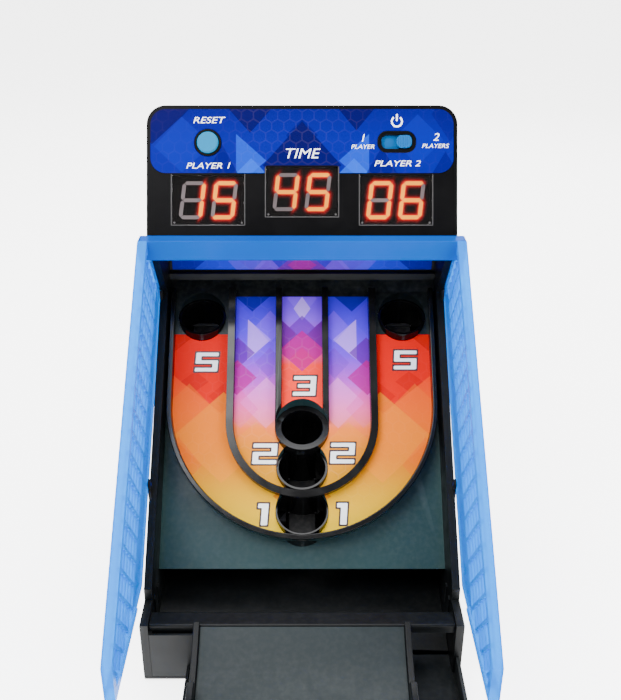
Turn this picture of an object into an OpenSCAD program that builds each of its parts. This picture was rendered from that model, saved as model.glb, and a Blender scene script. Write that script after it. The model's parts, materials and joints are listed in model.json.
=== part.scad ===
// Tabletop alley-roll target game with a leaning electronic scoreboard.
// Frame: X across, -Y towards the player, +Z up, origin on the table under the middle.

/* [Housing] */
// Half width of the playing space between the side walls
play_half_w = 126; // [120:1:150]
// Thickness of each hollow side wall
wall_t = 6.8; // [6:0.2:10]
// Thickness of the moulded plastic skins
skin = 2.4; // [1.8:0.2:3]
// Distance from the origin to the back of the machine
back_y = 310; // [305:1:340]
// Distance from the origin to the front end of the lane
front_y = 310; // [280:1:360]
// Height of the rubber feet
foot_h = 3; // [2:0.5:5]
// Thickness of the floor plate of the base
floor_t = 3; // [2:0.5:4]

/* [Target board] */
// Slope of the target board
board_slope = 45; // [42:1:48]
// Distance behind the origin of the board's top line
board_y = 284; // [280:1:290]
// Height of the board's top line
board_z = 253.3; // [248:1:260]
// Length of the apron down the slope
board_len = 258; // [250:1:262]
// Height of the raised target area above the apron
step_h = 11; // [8:0.5:13]
// Outer radius of the raised target area
plateau_r = 123.5; // [118:0.5:125]
// Distance down the slope to the centre of the outer curve
outer_c = 111; // [105:1:114]
// Height of the rails
rail_h = 8.5; // [6:0.5:10]
// Width of the outer rail
outer_rail_w = 4.5; // [4:0.5:7]
// Outer radius of the middle rail
middle_r = 69; // [66:0.5:72]
// Width of the middle rail
middle_rail_w = 6.5; // [5:0.5:7]
// Distance down the slope to the centre of the middle curve
middle_c = 129; // [125:1:131]
// Outer half width of the inner rails, and the outer radius of the three point cup
inner_r = 24.5; // [23.5:0.5:25]

/* [Target holes] */
// Tilt of the cups away from the board's own normal
cup_tilt = 22; // [18:1:24]
// Distance from the middle to the five point holes
five_x = 94; // [88:1:95]
// Distance down the slope to the five point holes
five_t = 26; // [26:1:34]
// Bore radius of the five point cups
five_r = 20; // [17:0.5:21]
// Distance down the slope to the three point hole
three_t = 133; // [131:1:134]
// Bore radius of the three point cup
three_r = 19; // [17:0.5:20]
// Distance down the slope to the two point hole
two_t = 170; // [169:1:171]
// Bore radius of the two point cup
two_r = 21; // [19:0.5:21]
// Distance down the slope to the one point hole
one_t = 209; // [207:1:210]
// Bore radius of the one point cup
one_r = 22; // [20:0.5:22]
// Length of the shortest cup below its rim
cup_len = 30; // [24:1:32]

/* [Flaps] */
// Length of a scoring flap from its hinge to its tip
flap_len = 28; // [22:1:29]
// Half width of a scoring flap
flap_half_w = 12; // [9:0.5:12.5]
// Radius of the flap hinge pins
pin_r = 1; // [0.8:0.1:1.4]

/* [Guards] */
// Slope of the guards' top edges
guard_slope = 38; // [36:0.5:40]
// Height of the crossbar's top above the board's top line
crossbar_rise = 77; // [72:0.5:84]
// Distance behind the origin of the crossbar's front face
guard_y = 212.6; // [208:0.5:216]
// Distance in front of the origin of the guards' noses
guard_front = 60; // [40:1:90]
// Thickness of the slotted panels
panel_t = 3; // [2:0.5:4]
// Width of the guards' edge flanges across the machine
flange_w = 8; // [6:0.5:10]
// Distance between the ribs of the slotted panels
rib_pitch = 18; // [15:0.5:24]
// Height of the crossbar
bar_h = 18; // [14:1:22]
// Depth of the crossbar
bar_d = 14; // [10:1:15]

/* [Lane] */
// Half width of the lane
lane_half_w = 84; // [70:1:86]
// Height of the jump crest
crest_z = 58; // [54:1:62]
// Distance behind the origin of the jump crest's rear face
crest_y = 62; // [58:1:66]
// Height of the lane's surface at its front end
lane_front_z = 22; // [20:1:26]
// Height of the lane's surface where the jump begins
lane_rise_z = 32; // [29:1:36]
// Thickness of the lane's rails
lane_rail_t = 5; // [3:0.5:6]
// Height of the rails above the lane
lane_rail_h = 16; // [12:1:20]

/* [Scoreboard] */
// How far the scoreboard stands out past the side walls
score_overhang = 1.7; // [0:0.1:4]
// Length of the scoreboard's face from its foot to its top
face_len = 113.3; // [110:0.1:125]
// Angle of the face above the horizontal
score_lean = 63; // [60:1:66]
// Distance behind the origin of the face's foot
score_y = 229; // [228:0.5:234]
// Radius of the scoreboard's top corners
corner_r = 16.5; // [12:0.5:22]
// Thickness of the scoreboard's skin
score_skin = 3; // [2:0.2:3.4]
// Width of a display window
window_w = 62.5; // [58:0.5:66]
// Height of a display window
window_h = 42.8; // [40:0.1:46]
// Radius of the reset button's cap
button_r = 9.3; // [7:0.1:11]
// Travel of the reset button
button_travel = 2; // [1:0.1:2.2]
// Length of the player switch's slot
slot_l = 26.6; // [24:0.2:32]
// Width of the player switch's slot
slot_w = 12; // [11:0.5:14]
// Width of the player switch's knob
knob_w = 13; // [10:0.5:14]
// Width of the rim round the player switch's slot
slot_rim = 3.3; // [1.4:0.1:3.6]

/* [Batteries] */
// Radius of a battery
cell_r = 7.2; // [7:0.1:7.3]
// Length of a battery without its terminal
cell_len = 49; // [48:0.5:50]
// Room round the batteries behind their door
door_room = 15.2; // [14:0.2:20]

/* [Hidden] */
$fn = 64;

// Shared clearances
slip = 0.1;
gap = 0.3;
run_fit = 0.05;
film_t = 0.3;
film_start_t = 6;
far = 400;

// Housing
wall_out = play_half_w + wall_t;
floor_top = foot_h + floor_t;
cover_y = back_y - skin;
wall_end_y = cover_y - slip;
guard_z = board_z + crossbar_rise;
tower_top = guard_z - 1.6;
wall_front_y = crest_y - 22;
wall_low_z = crest_z + 4;
step_y = crest_y + 9;
step_z = wall_low_z + 11;
wall_top_slope = 0.924;
// The wall's cheek runs along the rear edge of the guard, this far above it
cheek_lift = 0.926;
cheek_y = (guard_z + guard_y / tan(guard_slope) + cheek_lift - step_z + step_y * wall_top_slope)
  / (wall_top_slope + 1 / tan(guard_slope));
cheek_z = step_z + (cheek_y - step_y) * wall_top_slope;
cheek_front_y = guard_y + bar_d + gap;
inner_wall_y = board_y + 8;
ledge_z = board_z + 12;
ledge_h = 5;
ledge_d = 6;
left_skirt_x = -(lane_half_w + lane_rail_t + 7);
skirt_top = lane_front_z - 3;

// Each hole holds its X, distance down the slope, bore radius and outer radius
cup_wall = 2.25;
five_left = [-five_x, five_t, five_r, five_r + cup_wall];
five_right = [five_x, five_t, five_r, five_r + cup_wall];
three = [0, three_t, three_r, inner_r];
two = [0, two_t, two_r, two_r + 2];
one = [0, one_t, one_r, one_r + 1.4];
HOLES = [five_left, five_right, three, two, one];
tube_wall = 2;
socket_wall = 2;
socket_depth = 8;

// Flap hinges, in each cup's own frame
hinge_back = 18;
hinge_drop = 3;
knuckle_r = pin_r + 1.4;
ear_r = pin_r + 2;
ear_t = 2;
ear_gap = 0.6;
flap_t = 1.6;

// Ball return
floor_pitch = 8.6;
floor_roll = 2.3;
return_t = 2;
return_low_z = 13;
gutter_x = lane_half_w + lane_rail_t + slip;
gutter_low_z = 8;
gutter_wall = 2.4;
gutter_h = 20;
gate_h = 34;

// Lane
lane_t = 3;
lane_front_y = -front_y + 4;
rise_y = -25;
crest_d = 17;
rise_steps = 12;

// Guards
panel_x = wall_out + 0.2;
guard_half_w = panel_x + flange_w - 1;
guard_run = (guard_y + guard_front) / cos(guard_slope);
guard_depth = 100;
guard_low_z = 84;
guard_heel = [crest_y + 6, 80];
mesh_start = 11;
mesh_end = 72;
slot_rows = 5;
slot_bridge = 2.4;
rib_w = 3;
nose_len = 56;
guard_bosses = [[269, 265], [131, 138]];
boss_r = 4.5;
guard_screw_r = 1.6;
case_screw_r = 1.3;
case_head_r = 2.6;
case_head_h = 1.2;

// Scoreboard
score_half_w = wall_out + score_overhang;
score_print_h = 55.2;
score_print_edge = 3.5;
score_z = tower_top;
score_top_d = 20;
split_d = 12;
window_side_x = 81.3;
window_side_y = 31.4;
window_mid_y = 38.5;
lens_t = 1.5;
lens_set = 0.5;
button_x = -81.5;
button_y = 80.8;
button_proud = 3;
bezel_r = button_r + 2.4;
bezel_h = 1.2;
slot_x = 81.9;
slot_y = 81.5;
knob_gap = 0.5;
knob_rest = slot_l / 2 - knob_w / 2 - knob_gap;
pcb_t = 1.6;
pcb_d = 16;
main_w = 230;
main_low = 14;
main_h = 80;
module_d = 8;
digit_h = 32.8;
digit_w = 20.2;
digit_pitch = 27.7;
digit_slant = 0.12;
bar_w = 3.2;

// Battery compartment
door_w = 2 * cell_len + 20;
door_h = 4 * cell_r + door_room;
door_swing = 0.8;
door_top_z = 152;
door_x = 0;
axle_y = back_y - 1.6;
axle_r = 1;
lip_r = 1.5;
box_wall = 2;
box_d = 2 * cell_r + 3.6;
box_half_w = door_w / 2 - 0.6;
box_low = door_top_z - door_h;
box_top = door_top_z - lip_r - 0.9;
cell_z = [box_top - box_wall - 0.6 - cell_r, box_low + 0.6 + box_wall + 0.6 + cell_r];
cell_y = cover_y - box_wall - cell_r + 0.4;

function tube_len(h) = h[1] < two_t - 50 && h[0] != 0 ? cup_len : cup_len + (one_t - h[1]) * sin(cup_tilt);
function guard_point(s, n) =
  [guard_y - s * cos(guard_slope) + n * sin(guard_slope),
   guard_z - s * sin(guard_slope) - n * cos(guard_slope)];

// A profile drawn in Y and Z, given thickness along X from x0 to x1
module across(x0, x1) {
  translate([x0, 0, 0]) rotate([90, 0, 90]) linear_extrude(x1 - x0) children();
}
// Places children on the board: X across, +Y up the slope, +Z out of the board
module on_board() {
  translate([0, board_y, board_z]) rotate([board_slope, 0, 0]) children();
}
// Places children in a cup's frame: the rim's centre, +Z up the cup's axis
module at_cup(h) {
  on_board() translate([h[0], -h[1], 0]) rotate([-cup_tilt, 0, 0]) children();
}
// Places children on the scoreboard's face: +Y up the face, +Z towards the player
module on_face() {
  translate([0, score_y, score_z]) rotate([score_lean, 0, 0]) children();
}
module block(x, y, z) {
  translate([x[0], y[0], z[0]]) cube([x[1] - x[0], y[1] - y[0], z[1] - z[0]]);
}
module rounded(w, h, r) {
  translate([-w / 2 + r, -h / 2]) square([w - 2 * r, h]);
  translate([-w / 2, -h / 2 + r]) square([w, h - 2 * r]);
  for (x = [-1, 1], y = [-1, 1]) translate([x * (w / 2 - r), y * (h / 2 - r)]) circle(r);
}

// ---- Housing ----
module base_outline(inset) {
  translate([-wall_out + inset, wall_front_y + inset])
    square([2 * (wall_out - inset), wall_end_y - wall_front_y - 2 * inset]);
  translate([left_skirt_x + inset, -front_y + inset])
    square([wall_out - left_skirt_x - 2 * inset, front_y + wall_front_y]);
}
module base_tray() {
  color([0.07, 0.07, 0.08]) {
    translate([0, 0, foot_h]) linear_extrude(floor_t) base_outline(0);
    // Skirt round the lane, on the floor plate
    block([left_skirt_x, wall_out], [-front_y, -front_y + skin], [floor_top - slip, skirt_top]);
    block([left_skirt_x, left_skirt_x + skin], [-front_y, wall_front_y], [floor_top - slip, skirt_top]);
    block([wall_out - skin, wall_out], [-front_y, wall_front_y], [floor_top - slip, skirt_top]);
    // Ribs that carry the lane
    for (y = [-250, -170, -90])
      block([-lane_half_w, lane_half_w], [y, y + skin],
        [floor_top - slip, lane_front_z - lane_t - 0.2 + (y + front_y) * (lane_rise_z - lane_front_z) / front_y]);
  }
}
module foot(x, y) {
  translate([x, y, 0]) cylinder(r = 9, h = foot_h);
}
module rubber_feet() {
  color([0.16, 0.16, 0.17]) {
    for (x = [-1, 1]) foot(x * (wall_out - 16), back_y - 20);
    for (x = [-1, 1]) foot(x * (wall_out - 16), crest_y);
    foot(left_skirt_x + 16, -front_y + 18);
    foot(wall_out - 16, -front_y + 18);
  }
}
module wall_profile(inset) {
  polygon([[wall_front_y + inset, floor_top], [wall_end_y - inset, floor_top],
    [wall_end_y - inset, tower_top - inset], [cheek_front_y + inset, tower_top - inset],
    [cheek_front_y + inset, guard_z - bar_h],
    [cheek_y + inset, cheek_z - inset], [step_y + inset, step_z - inset], [step_y + inset, wall_low_z - inset],
    [wall_front_y + inset, wall_low_z - inset]]);
}
module side_wall() {
  color([0.08, 0.085, 0.09]) {
    difference() {
      across(play_half_w, wall_out) wall_profile(0);
      across(play_half_w + skin - 0.4, wall_out - skin + 0.4) wall_profile(skin);
      at_case_screws() cylinder(r = case_screw_r, h = 20);
      for (b = guard_bosses)
        translate([play_half_w, b[0], b[1]]) rotate([0, 90, 0]) cylinder(r = guard_screw_r, h = far / 2);
    }
    // Lugs that the guard screws hold on to
    for (b = guard_bosses)
      difference() {
        translate([wall_out - skin, b[0], b[1]]) rotate([0, 90, 0]) cylinder(r = boss_r, h = skin);
        translate([play_half_w, b[0], b[1]]) rotate([0, 90, 0]) cylinder(r = guard_screw_r, h = far / 2);
      }
    for (b = guard_bosses)
      block([wall_out - skin, wall_out], [b[0] - 4, b[0] + 4], [b[1] - 14, b[1] - 3.4]);
    // Upright ribs beside the drop
    for (y = [crest_y + 14, crest_y + 30])
      block([play_half_w - 1.2, play_half_w + 0.2], [y, y + 5], [floor_top + 34, wall_low_z - 4]);
  }
}
module left_side_wall() { mirror([1, 0, 0]) side_wall(); }
module right_side_wall() { side_wall(); }
module back_wall() {
  color([0.07, 0.07, 0.08]) {
    block([-play_half_w, play_half_w], [inner_wall_y, inner_wall_y + skin], [board_z - 12, tower_top]);
    block([-play_half_w, play_half_w], [inner_wall_y - ledge_d, inner_wall_y + slip],
      [ledge_z, ledge_z + ledge_h]);
    // Spacers that hold the wall off the rear cover
    for (x = [-110, 110])
      block([x - 4, x + 4], [inner_wall_y, cover_y], [board_z, board_z + 6]);
  }
}
module back_graphic() {
  color([0.15, 0.1, 0.75])
    block([-play_half_w + 3, play_half_w - 3], [inner_wall_y - film_t, inner_wall_y],
      [ledge_z + ledge_h + 2, tower_top - 8]);
}
module rear_cover() {
  low_z = door_top_z - door_h;
  color([0.07, 0.07, 0.08])
    difference() {
      union() {
        block([-wall_out, wall_out], [cover_y, back_y], [foot_h, tower_top]);
        // Lugs beside the door's top edge
        for (s = [-1, 1])
          translate([door_x + s * (door_w / 2 + 4), 0, 0])
            block([-3.5, 3.5], [axle_y - 3.4, back_y], [door_top_z - 4, door_top_z + 4]);
      }
      block([door_x - door_w / 2 - gap, door_x + door_w / 2 + gap], [cover_y - 8, back_y + 1],
        [low_z - gap, door_top_z + lip_r + door_swing]);
      // Bearings of the door's stub axles
      translate([door_x - door_w / 2 - 5, axle_y, door_top_z]) rotate([0, 90, 0])
        cylinder(r = axle_r + run_fit, h = door_w + 10);
      at_case_screws() case_screw(slip);
      // Sound and cooling slots
      for (i = [0:4])
        block([-60, 60], [cover_y - 1, back_y + 1], [262 + i * 9, 265 + i * 9]);
    }
}

// ---- Target board ----
module u_area(r, c) {
  translate([-r, -c]) square([2 * r, c]);
  intersection() {
    translate([0, -c]) circle(r, $fn = 128);
    translate([-far / 2, -far]) square([far, far - c + slip]);
  }
}
module u_band(r, w, c) {
  difference() {
    u_area(r, c);
    translate([0, 1]) u_area(r - w, c + 1);
  }
}
module cup_bores(holes, extra, reach = 55) {
  for (h = holes)
    translate([h[0], -h[1], 0]) rotate([-cup_tilt, 0, 0])
      cylinder(r = h[3] + extra, h = 2 * reach, center = true);
}
module target_board() {
  top_t = (inner_wall_y - board_y) / cos(board_slope);
  color([0.09, 0.1, 0.11]) difference() {
    on_board()
      difference() {
        union() {
          // Apron round the raised area
          translate([0, 0, -step_h - skin]) linear_extrude(skin)
            difference() {
              translate([-play_half_w + slip, -board_len]) square([2 * (play_half_w - slip), board_len]);
              u_area(plateau_r - skin, outer_c);
            }
          // Side of the raised area
          translate([0, 0, -step_h - skin]) linear_extrude(step_h + skin) u_band(plateau_r, skin, outer_c);
          // Raised area, up to the back wall
          translate([0, 0, -skin]) linear_extrude(skin) {
            u_area(plateau_r, outer_c);
            translate([-play_half_w + slip, -slip]) square([2 * (play_half_w - slip), top_t]);
          }
          // Sockets that hold the cups
          intersection() {
            for (h = HOLES)
              translate([h[0], -h[1], 0]) rotate([-cup_tilt, 0, 0])
                translate([0, 0, -socket_depth]) cylinder(r = h[3] + slip + socket_wall, h = 40);
            translate([0, 0, -60]) linear_extrude(60) u_area(plateau_r - slip, outer_c);
          }
        }
        cup_bores(HOLES, slip);
      }
    // The board ends at the back wall
    block([-far, far], [inner_wall_y - slip / 2, far], [0, far]);
  }
}
module outer_rail() {
  color([0.06, 0.06, 0.07])
    on_board()
      difference() {
        linear_extrude(rail_h) u_band(plateau_r, outer_rail_w, outer_c);
        cup_bores([one, five_left, five_right], slip);
      }
}
module middle_rail() {
  color([0.06, 0.06, 0.07])
    on_board()
      difference() {
        linear_extrude(rail_h) u_band(middle_r, middle_rail_w, middle_c);
        cup_bores([two], slip);
      }
}
module inner_rails() {
  inner_end_t = three_t - rail_h * tan(cup_tilt);
  color([0.06, 0.06, 0.07])
    on_board()
      difference() {
        for (s = [-1, 1])
          translate([s * (inner_r + three_r) / 2 - (inner_r - three_r) / 2, -inner_end_t, 0])
            cube([inner_r - three_r, inner_end_t, rail_h]);
        cup_bores([three], slip);
      }
}
module film(shade, holes) {
  color(shade)
    on_board()
      difference() {
        linear_extrude(film_t) children();
        cup_bores(holes, gap, 20);
      }
}
module outer_graphic() {
  start_t = five_t + 18;
  film([0.95, 0.5, 0.2], [five_left, five_right, one])
    difference() {
      u_area(plateau_r - outer_rail_w - gap, outer_c);
      translate([0, 1]) u_area(middle_r + gap, middle_c + 1);
      translate([-far / 2, -start_t]) square([far, far]);
      // The one point hole parts the film into two halves
      translate([-one_r / 2, -far]) square([one_r, far - two_t]);
    }
}
module middle_graphic() {
  film([0.6, 0.35, 0.75], [three, two])
    difference() {
      u_area(middle_r - middle_rail_w - gap, middle_c);
      translate([-inner_r - gap, -three_t]) square([2 * (inner_r + gap), three_t + 1]);
      translate([-far / 2, -film_start_t]) square([far, far]);
    }
}
module inner_graphic() {
  film([0.65, 0.4, 0.8], [three])
    translate([-three_r + gap, -three_t]) square([2 * (three_r - gap), three_t - film_start_t]);
}

// ---- Cups and scoring flaps ----
// A cup stands out of the board at the front of its rim and is sunk below it at the back
module cup(h) {
  long = tube_len(h);
  low_r = h[2] + tube_wall < h[3] ? h[2] + tube_wall : h[3];
  difference() {
    union() {
      translate([0, 0, -socket_depth]) cylinder(r = h[3], h = socket_depth);
      translate([0, 0, -long]) cylinder(r = low_r, h = long);
      // Ears of the flap's hinge
      for (s = [-1, 1])
        translate([s * (flap_half_w + ear_gap + ear_t / 2), hinge_back, -long - hinge_drop]) {
          rotate([0, 90, 0]) cylinder(r = ear_r, h = ear_t, center = true);
          translate([-ear_t / 2, -ear_r, 0]) cube([ear_t, 2 * ear_r, hinge_drop + 6]);
        }
    }
    translate([0, 0, -long - 1]) cylinder(r = h[2], h = long + 20);
    // Bearings of the hinge pin
    translate([-30, hinge_back, -long - hinge_drop]) rotate([0, 90, 0]) cylinder(r = pin_r, h = 60);
  }
}
// Clears a cup from the tube of the cup above it
module upper_tube(lower, upper, r) {
  shift = lower[1] - upper[1];
  translate([0, shift * cos(cup_tilt), shift * sin(cup_tilt)])
    translate([0, 0, -90]) cylinder(r = r + slip, h = 120);
}
module cup_five_left() { color([0.05, 0.05, 0.055]) at_cup(five_left) cup(five_left); }
module cup_five_right() { color([0.05, 0.05, 0.055]) at_cup(five_right) cup(five_right); }
module cup_three() { color([0.05, 0.05, 0.055]) at_cup(three) cup(three); }
module cup_two() {
  color([0.05, 0.05, 0.055])
    at_cup(two)
      difference() {
        cup(two);
        intersection() {
          upper_tube(two, three, three_r + tube_wall);
          translate([-40, -60, -tube_len(two)]) cube([80, 120, 90]);
        }
      }
}
module cup_one() {
  color([0.05, 0.05, 0.055])
    at_cup(one)
      difference() {
        cup(one);
        intersection() {
          upper_tube(one, two, two[3]);
          translate([-40, -60, -tube_len(one)]) cube([80, 120, 90]);
        }
      }
}
module flap(h) {
  color([0.13, 0.13, 0.14])
    at_cup(h)
      translate([0, hinge_back, -tube_len(h) - hinge_drop])
        difference() {
          union() {
            rotate([0, 90, 0]) cylinder(r = knuckle_r, h = 2 * flap_half_w, center = true);
            translate([-flap_half_w, -flap_len, -flap_t / 2]) cube([2 * flap_half_w, flap_len, flap_t]);
            // Stiffening ribs under the plate
            for (x = [-flap_half_w + 2, flap_half_w - 3.2])
              translate([x, -flap_len + 3, -2.4]) cube([1.2, flap_len - 3, 2.4]);
          }
          rotate([0, 90, 0]) cylinder(r = pin_r + run_fit, h = 80, center = true);
        }
}
module flap_five_left() { flap(five_left); }
module flap_five_right() { flap(five_right); }
module flap_three() { flap(three); }
module flap_two() { flap(two); }
module flap_one() { flap(one); }
module flap_pins() {
  color([0.72, 0.73, 0.75])
    for (h = HOLES)
      at_cup(h) translate([0, hinge_back, -tube_len(h) - hinge_drop])
        rotate([0, 90, 0]) cylinder(r = pin_r, h = 2 * (flap_half_w + ear_gap + ear_t), center = true);
}
// Sensor parts sit on the outer side of each hinge
function sensor_side(h) = h[0] < 0 ? 1 : -1;
sensor_x = flap_half_w + ear_gap + ear_t + gap;
module sensor_boards() {
  color([0.55, 0.47, 0.22])
    for (h = HOLES)
      at_cup(h) translate([sensor_side(h) * (sensor_x + 6 + pcb_t / 2), hinge_back - 4, -tube_len(h) - 9.2])
        cube([pcb_t, 18, 16], center = true);
}
module score_switches() {
  color([0.2, 0.2, 0.22])
    for (h = HOLES)
      at_cup(h) translate([sensor_side(h) * (sensor_x + 3), hinge_back - 4, -tube_len(h) - 5])
        cube([6, 12, 6], center = true);
}

// ---- Ball return ----
module return_floor() {
  low_x = play_half_w - slip;
  color([0.1, 0.1, 0.11])
    intersection() {
      translate([low_x, crest_y, return_low_z]) rotate([floor_pitch, 0, 0]) rotate([0, floor_roll, 0])
        translate([-far, -20, -return_t]) cube([far + 20, far, return_t]);
      block([-low_x, low_x], [crest_y + gap, inner_wall_y + 10 - box_d], [floor_top, far / 2]);
    }
}
module jump_ramp() {
  gate_x = gutter_x + gap;
  color([0.07, 0.075, 0.08])
    difference() {
      union() {
        // Crest bar, right across
        block([-play_half_w + slip, play_half_w - slip], [crest_y - crest_d, crest_y],
          [crest_z - 8, crest_z - 2]);
        block([-play_half_w + slip, play_half_w - slip], [crest_y - crest_d + 2, crest_y - 2],
          [crest_z - 3, crest_z]);
        for (y = [crest_y - crest_d + 2, crest_y - 2])
          translate([-play_half_w + slip, y, crest_z - 2]) rotate([0, 90, 0])
            cylinder(r = 2, h = 2 * (play_half_w - slip));
        // Wall in front of the drop
        block([-play_half_w + slip, play_half_w - slip], [crest_y - skin, crest_y],
          [floor_top, crest_z - 6]);
        // Side webs that carry the bar
        block([-play_half_w + slip, -play_half_w + skin], [wall_front_y + slip, crest_y],
          [floor_top, crest_z - 6]);
        block([gutter_x - lane_rail_t, gutter_x - slip], [crest_y - crest_d, crest_y],
          [floor_top, crest_z - 6]);
        block([-play_half_w + slip, -gutter_x], [wall_front_y + slip, wall_front_y + skin],
          [floor_top, crest_z - 6]);
      }
      // Gate for the balls
      block([gate_x, play_half_w + 1], [crest_y - far, crest_y + 1], [floor_top - 1, floor_top + gate_h]);
    }
}
function lane_z(y) =
  y < rise_y
    ? lane_front_z + (y - lane_front_y) / (rise_y - lane_front_y) * (lane_rise_z - lane_front_z)
    : lane_rise_z + (crest_z - 1 - lane_rise_z) * pow((y - rise_y) / (lane_end_y - rise_y), 1.7);
lane_end_y = crest_y - crest_d - slip;
lane_stations = concat([lane_front_y],
  [for (i = [0:rise_steps]) rise_y + (lane_end_y - rise_y) * i / rise_steps]);
module lane_bed() {
  top = [for (y = lane_stations) [y, lane_z(y)]];
  under = [for (i = [len(lane_stations) - 1:-1:0]) [lane_stations[i], lane_z(lane_stations[i]) - lane_t]];
  color([0.12, 0.13, 0.14])
    across(-lane_half_w + slip, lane_half_w - slip) polygon(concat(top, under));
}
module lane_rail() {
  top = [for (y = lane_stations) [y, lane_z(y) + lane_rail_h * (y < rise_y + 20 ? 1 : 0.35)]];
  color([0.06, 0.06, 0.07])
    across(lane_half_w, lane_half_w + lane_rail_t)
      polygon(concat(top, [[lane_end_y, floor_top], [lane_front_y, floor_top]]));
}
module left_lane_rail() { mirror([1, 0, 0]) lane_rail(); }
module right_lane_rail() { lane_rail(); }
module ball_gutter() {
  outer_x = wall_out - skin - slip;
  start_y = crest_y - skin - slip;
  end_y = -front_y + skin + slip;
  slope_z = return_low_z - 1.6 - gutter_low_z;
  color([0.09, 0.09, 0.1]) {
    across(gutter_x, play_half_w - slip)
      polygon([[end_y, floor_top], [end_y, gutter_low_z], [start_y, gutter_low_z + slope_z],
        [start_y, floor_top]]);
    across(play_half_w - slip * 2, outer_x)
      polygon([[end_y, floor_top], [end_y, gutter_low_z], [wall_front_y - gap, gutter_low_z + slope_z],
        [wall_front_y - gap, floor_top]]);
    // Side and end walls
    across(outer_x - gutter_wall, outer_x)
      polygon([[end_y, floor_top], [end_y, gutter_low_z + gutter_h], [wall_front_y - gap, gutter_low_z + gutter_h],
        [wall_front_y - gap, floor_top]]);
    block([gutter_x, outer_x], [end_y, end_y + gutter_wall], [floor_top, gutter_low_z + gutter_h]);
  }
}

// ---- Guards ----
module guard_outline() {
  nose_z = guard_z - (guard_y + guard_front) * tan(guard_slope);
  polygon([[guard_y, guard_z], [-guard_front, nose_z], [-guard_front, guard_low_z], guard_heel,
    guard_point(0, guard_depth)]);
}
// The outline drawn in again by d on every side, with straight edges
module guard_inside(d) {
  intersection_for (m = [[0, -d], [0, d], [d, 0], [-d, 0],
      [d * sin(guard_slope), d * cos(guard_slope)] * -1, [-d * cos(guard_slope), -d * sin(guard_slope)],
      [-d * 0.66, d * 0.75]])
    translate(m) guard_outline();
}
module guard_slots() {
  cell_n = (mesh_end - mesh_start) / slot_rows;
  intersection() {
    guard_inside(flange_w);
    union()
      for (i = [0:floor(guard_run / rib_pitch)], k = [0:slot_rows - 1]) {
        s = i * rib_pitch + rib_w / 2 + flange_w - 3;
        n = mesh_start + k * cell_n;
        a = guard_point(s, n);
        translate(a) rotate(180 + guard_slope) square([rib_pitch - rib_w, cell_n - slot_bridge]);
      }
  }
}
module guard() {
  color([0.2, 0.65, 0.95])
    difference() {
      union() {
        across(panel_x, panel_x + panel_t)
          difference() {
            guard_outline();
            guard_slots();
          }
        across(panel_x - 1, panel_x + flange_w - 1)
          difference() {
            guard_outline();
            guard_inside(flange_w);
            // The lower edge lies flat against the wall
            polygon([guard_point(-flange_w, mesh_end + 8), guard_point(guard_run - nose_len, mesh_end + 8),
              guard_point(guard_run - nose_len, 2 * guard_depth), guard_point(-flange_w, 2 * guard_depth)]);
          }
        across(panel_x, panel_x + flange_w - 1)
          difference() {
            guard_outline();
            guard_inside(flange_w);
          }
        for (b = guard_bosses)
          translate([panel_x, b[0], b[1]]) rotate([0, 90, 0]) cylinder(r = boss_r, h = flange_w - 1);
      }
      for (b = guard_bosses)
        translate([panel_x - 2, b[0], b[1]]) rotate([0, 90, 0])
          cylinder(r = guard_screw_r + slip, h = flange_w * 2);
      // Seat of the crossbar
      block([0, guard_half_w + 1], [guard_y - slip / 2, guard_y + far],
        [guard_z - bar_h - slip / 2, guard_z + 1]);
    }
}
module left_guard() { mirror([1, 0, 0]) guard(); }
module right_guard() { guard(); }
module guard_crossbar() {
  color([0.1, 0.6, 0.98])
    difference() {
      block([-guard_half_w, guard_half_w], [guard_y, guard_y + bar_d], [guard_z - bar_h, guard_z]);
      block([-guard_half_w + flange_w, guard_half_w - flange_w], [guard_y + 2.4, guard_y + bar_d + 1],
        [guard_z - bar_h - 1, guard_z - 2.4]);
    }
}
module guard_screws() {
  color([0.08, 0.25, 0.5])
    for (s = [0, 1], b = guard_bosses)
      mirror([s, 0, 0])
        translate([0, b[0], b[1]]) rotate([0, 90, 0]) {
          translate([0, 0, wall_out - skin]) cylinder(r = guard_screw_r, h = guard_half_w - wall_out + skin);
          translate([0, 0, guard_half_w]) cylinder(r = 3, h = 1);
        }
}

// ---- Scoreboard ----
// The closed wedge of the scoreboard, drawn in by inset on every side
module score_block(inset) {
  top_y = score_y + face_len * cos(score_lean);
  top_z = score_z + face_len * sin(score_lean);
  intersection() {
    across(-score_half_w + inset, score_half_w - inset)
      polygon([[score_y, score_z], [top_y, top_z], [top_y + score_top_d - inset * 1.05, top_z],
        [back_y - inset * 1.05, score_z]]);
    on_face() translate([0, 0, -120]) linear_extrude(120 - inset) {
      translate([-score_half_w + inset, inset * 1.2])
        square([2 * (score_half_w - inset), face_len - corner_r - inset * 1.2]);
      translate([-score_half_w + corner_r, 0]) square([2 * (score_half_w - corner_r), face_len - inset]);
      for (s = [-1, 1])
        translate([s * (score_half_w - corner_r), face_len - corner_r]) circle(corner_r - inset);
    }
    block([-far, far], [0, far], [score_z + inset, score_z + far]);
  }
}
module front_slab(depth) {
  on_face() translate([-far / 2, -far / 2, -depth]) cube([far, far, far]);
}
module at_windows() {
  translate([-window_side_x, window_side_y, 0]) children();
  translate([0, window_mid_y, 0]) children();
  translate([window_side_x, window_side_y, 0]) children();
}
module slot_shape(grow) {
  rounded(slot_l + 2 * grow, slot_w + 2 * grow, 5 + grow);
}
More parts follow.
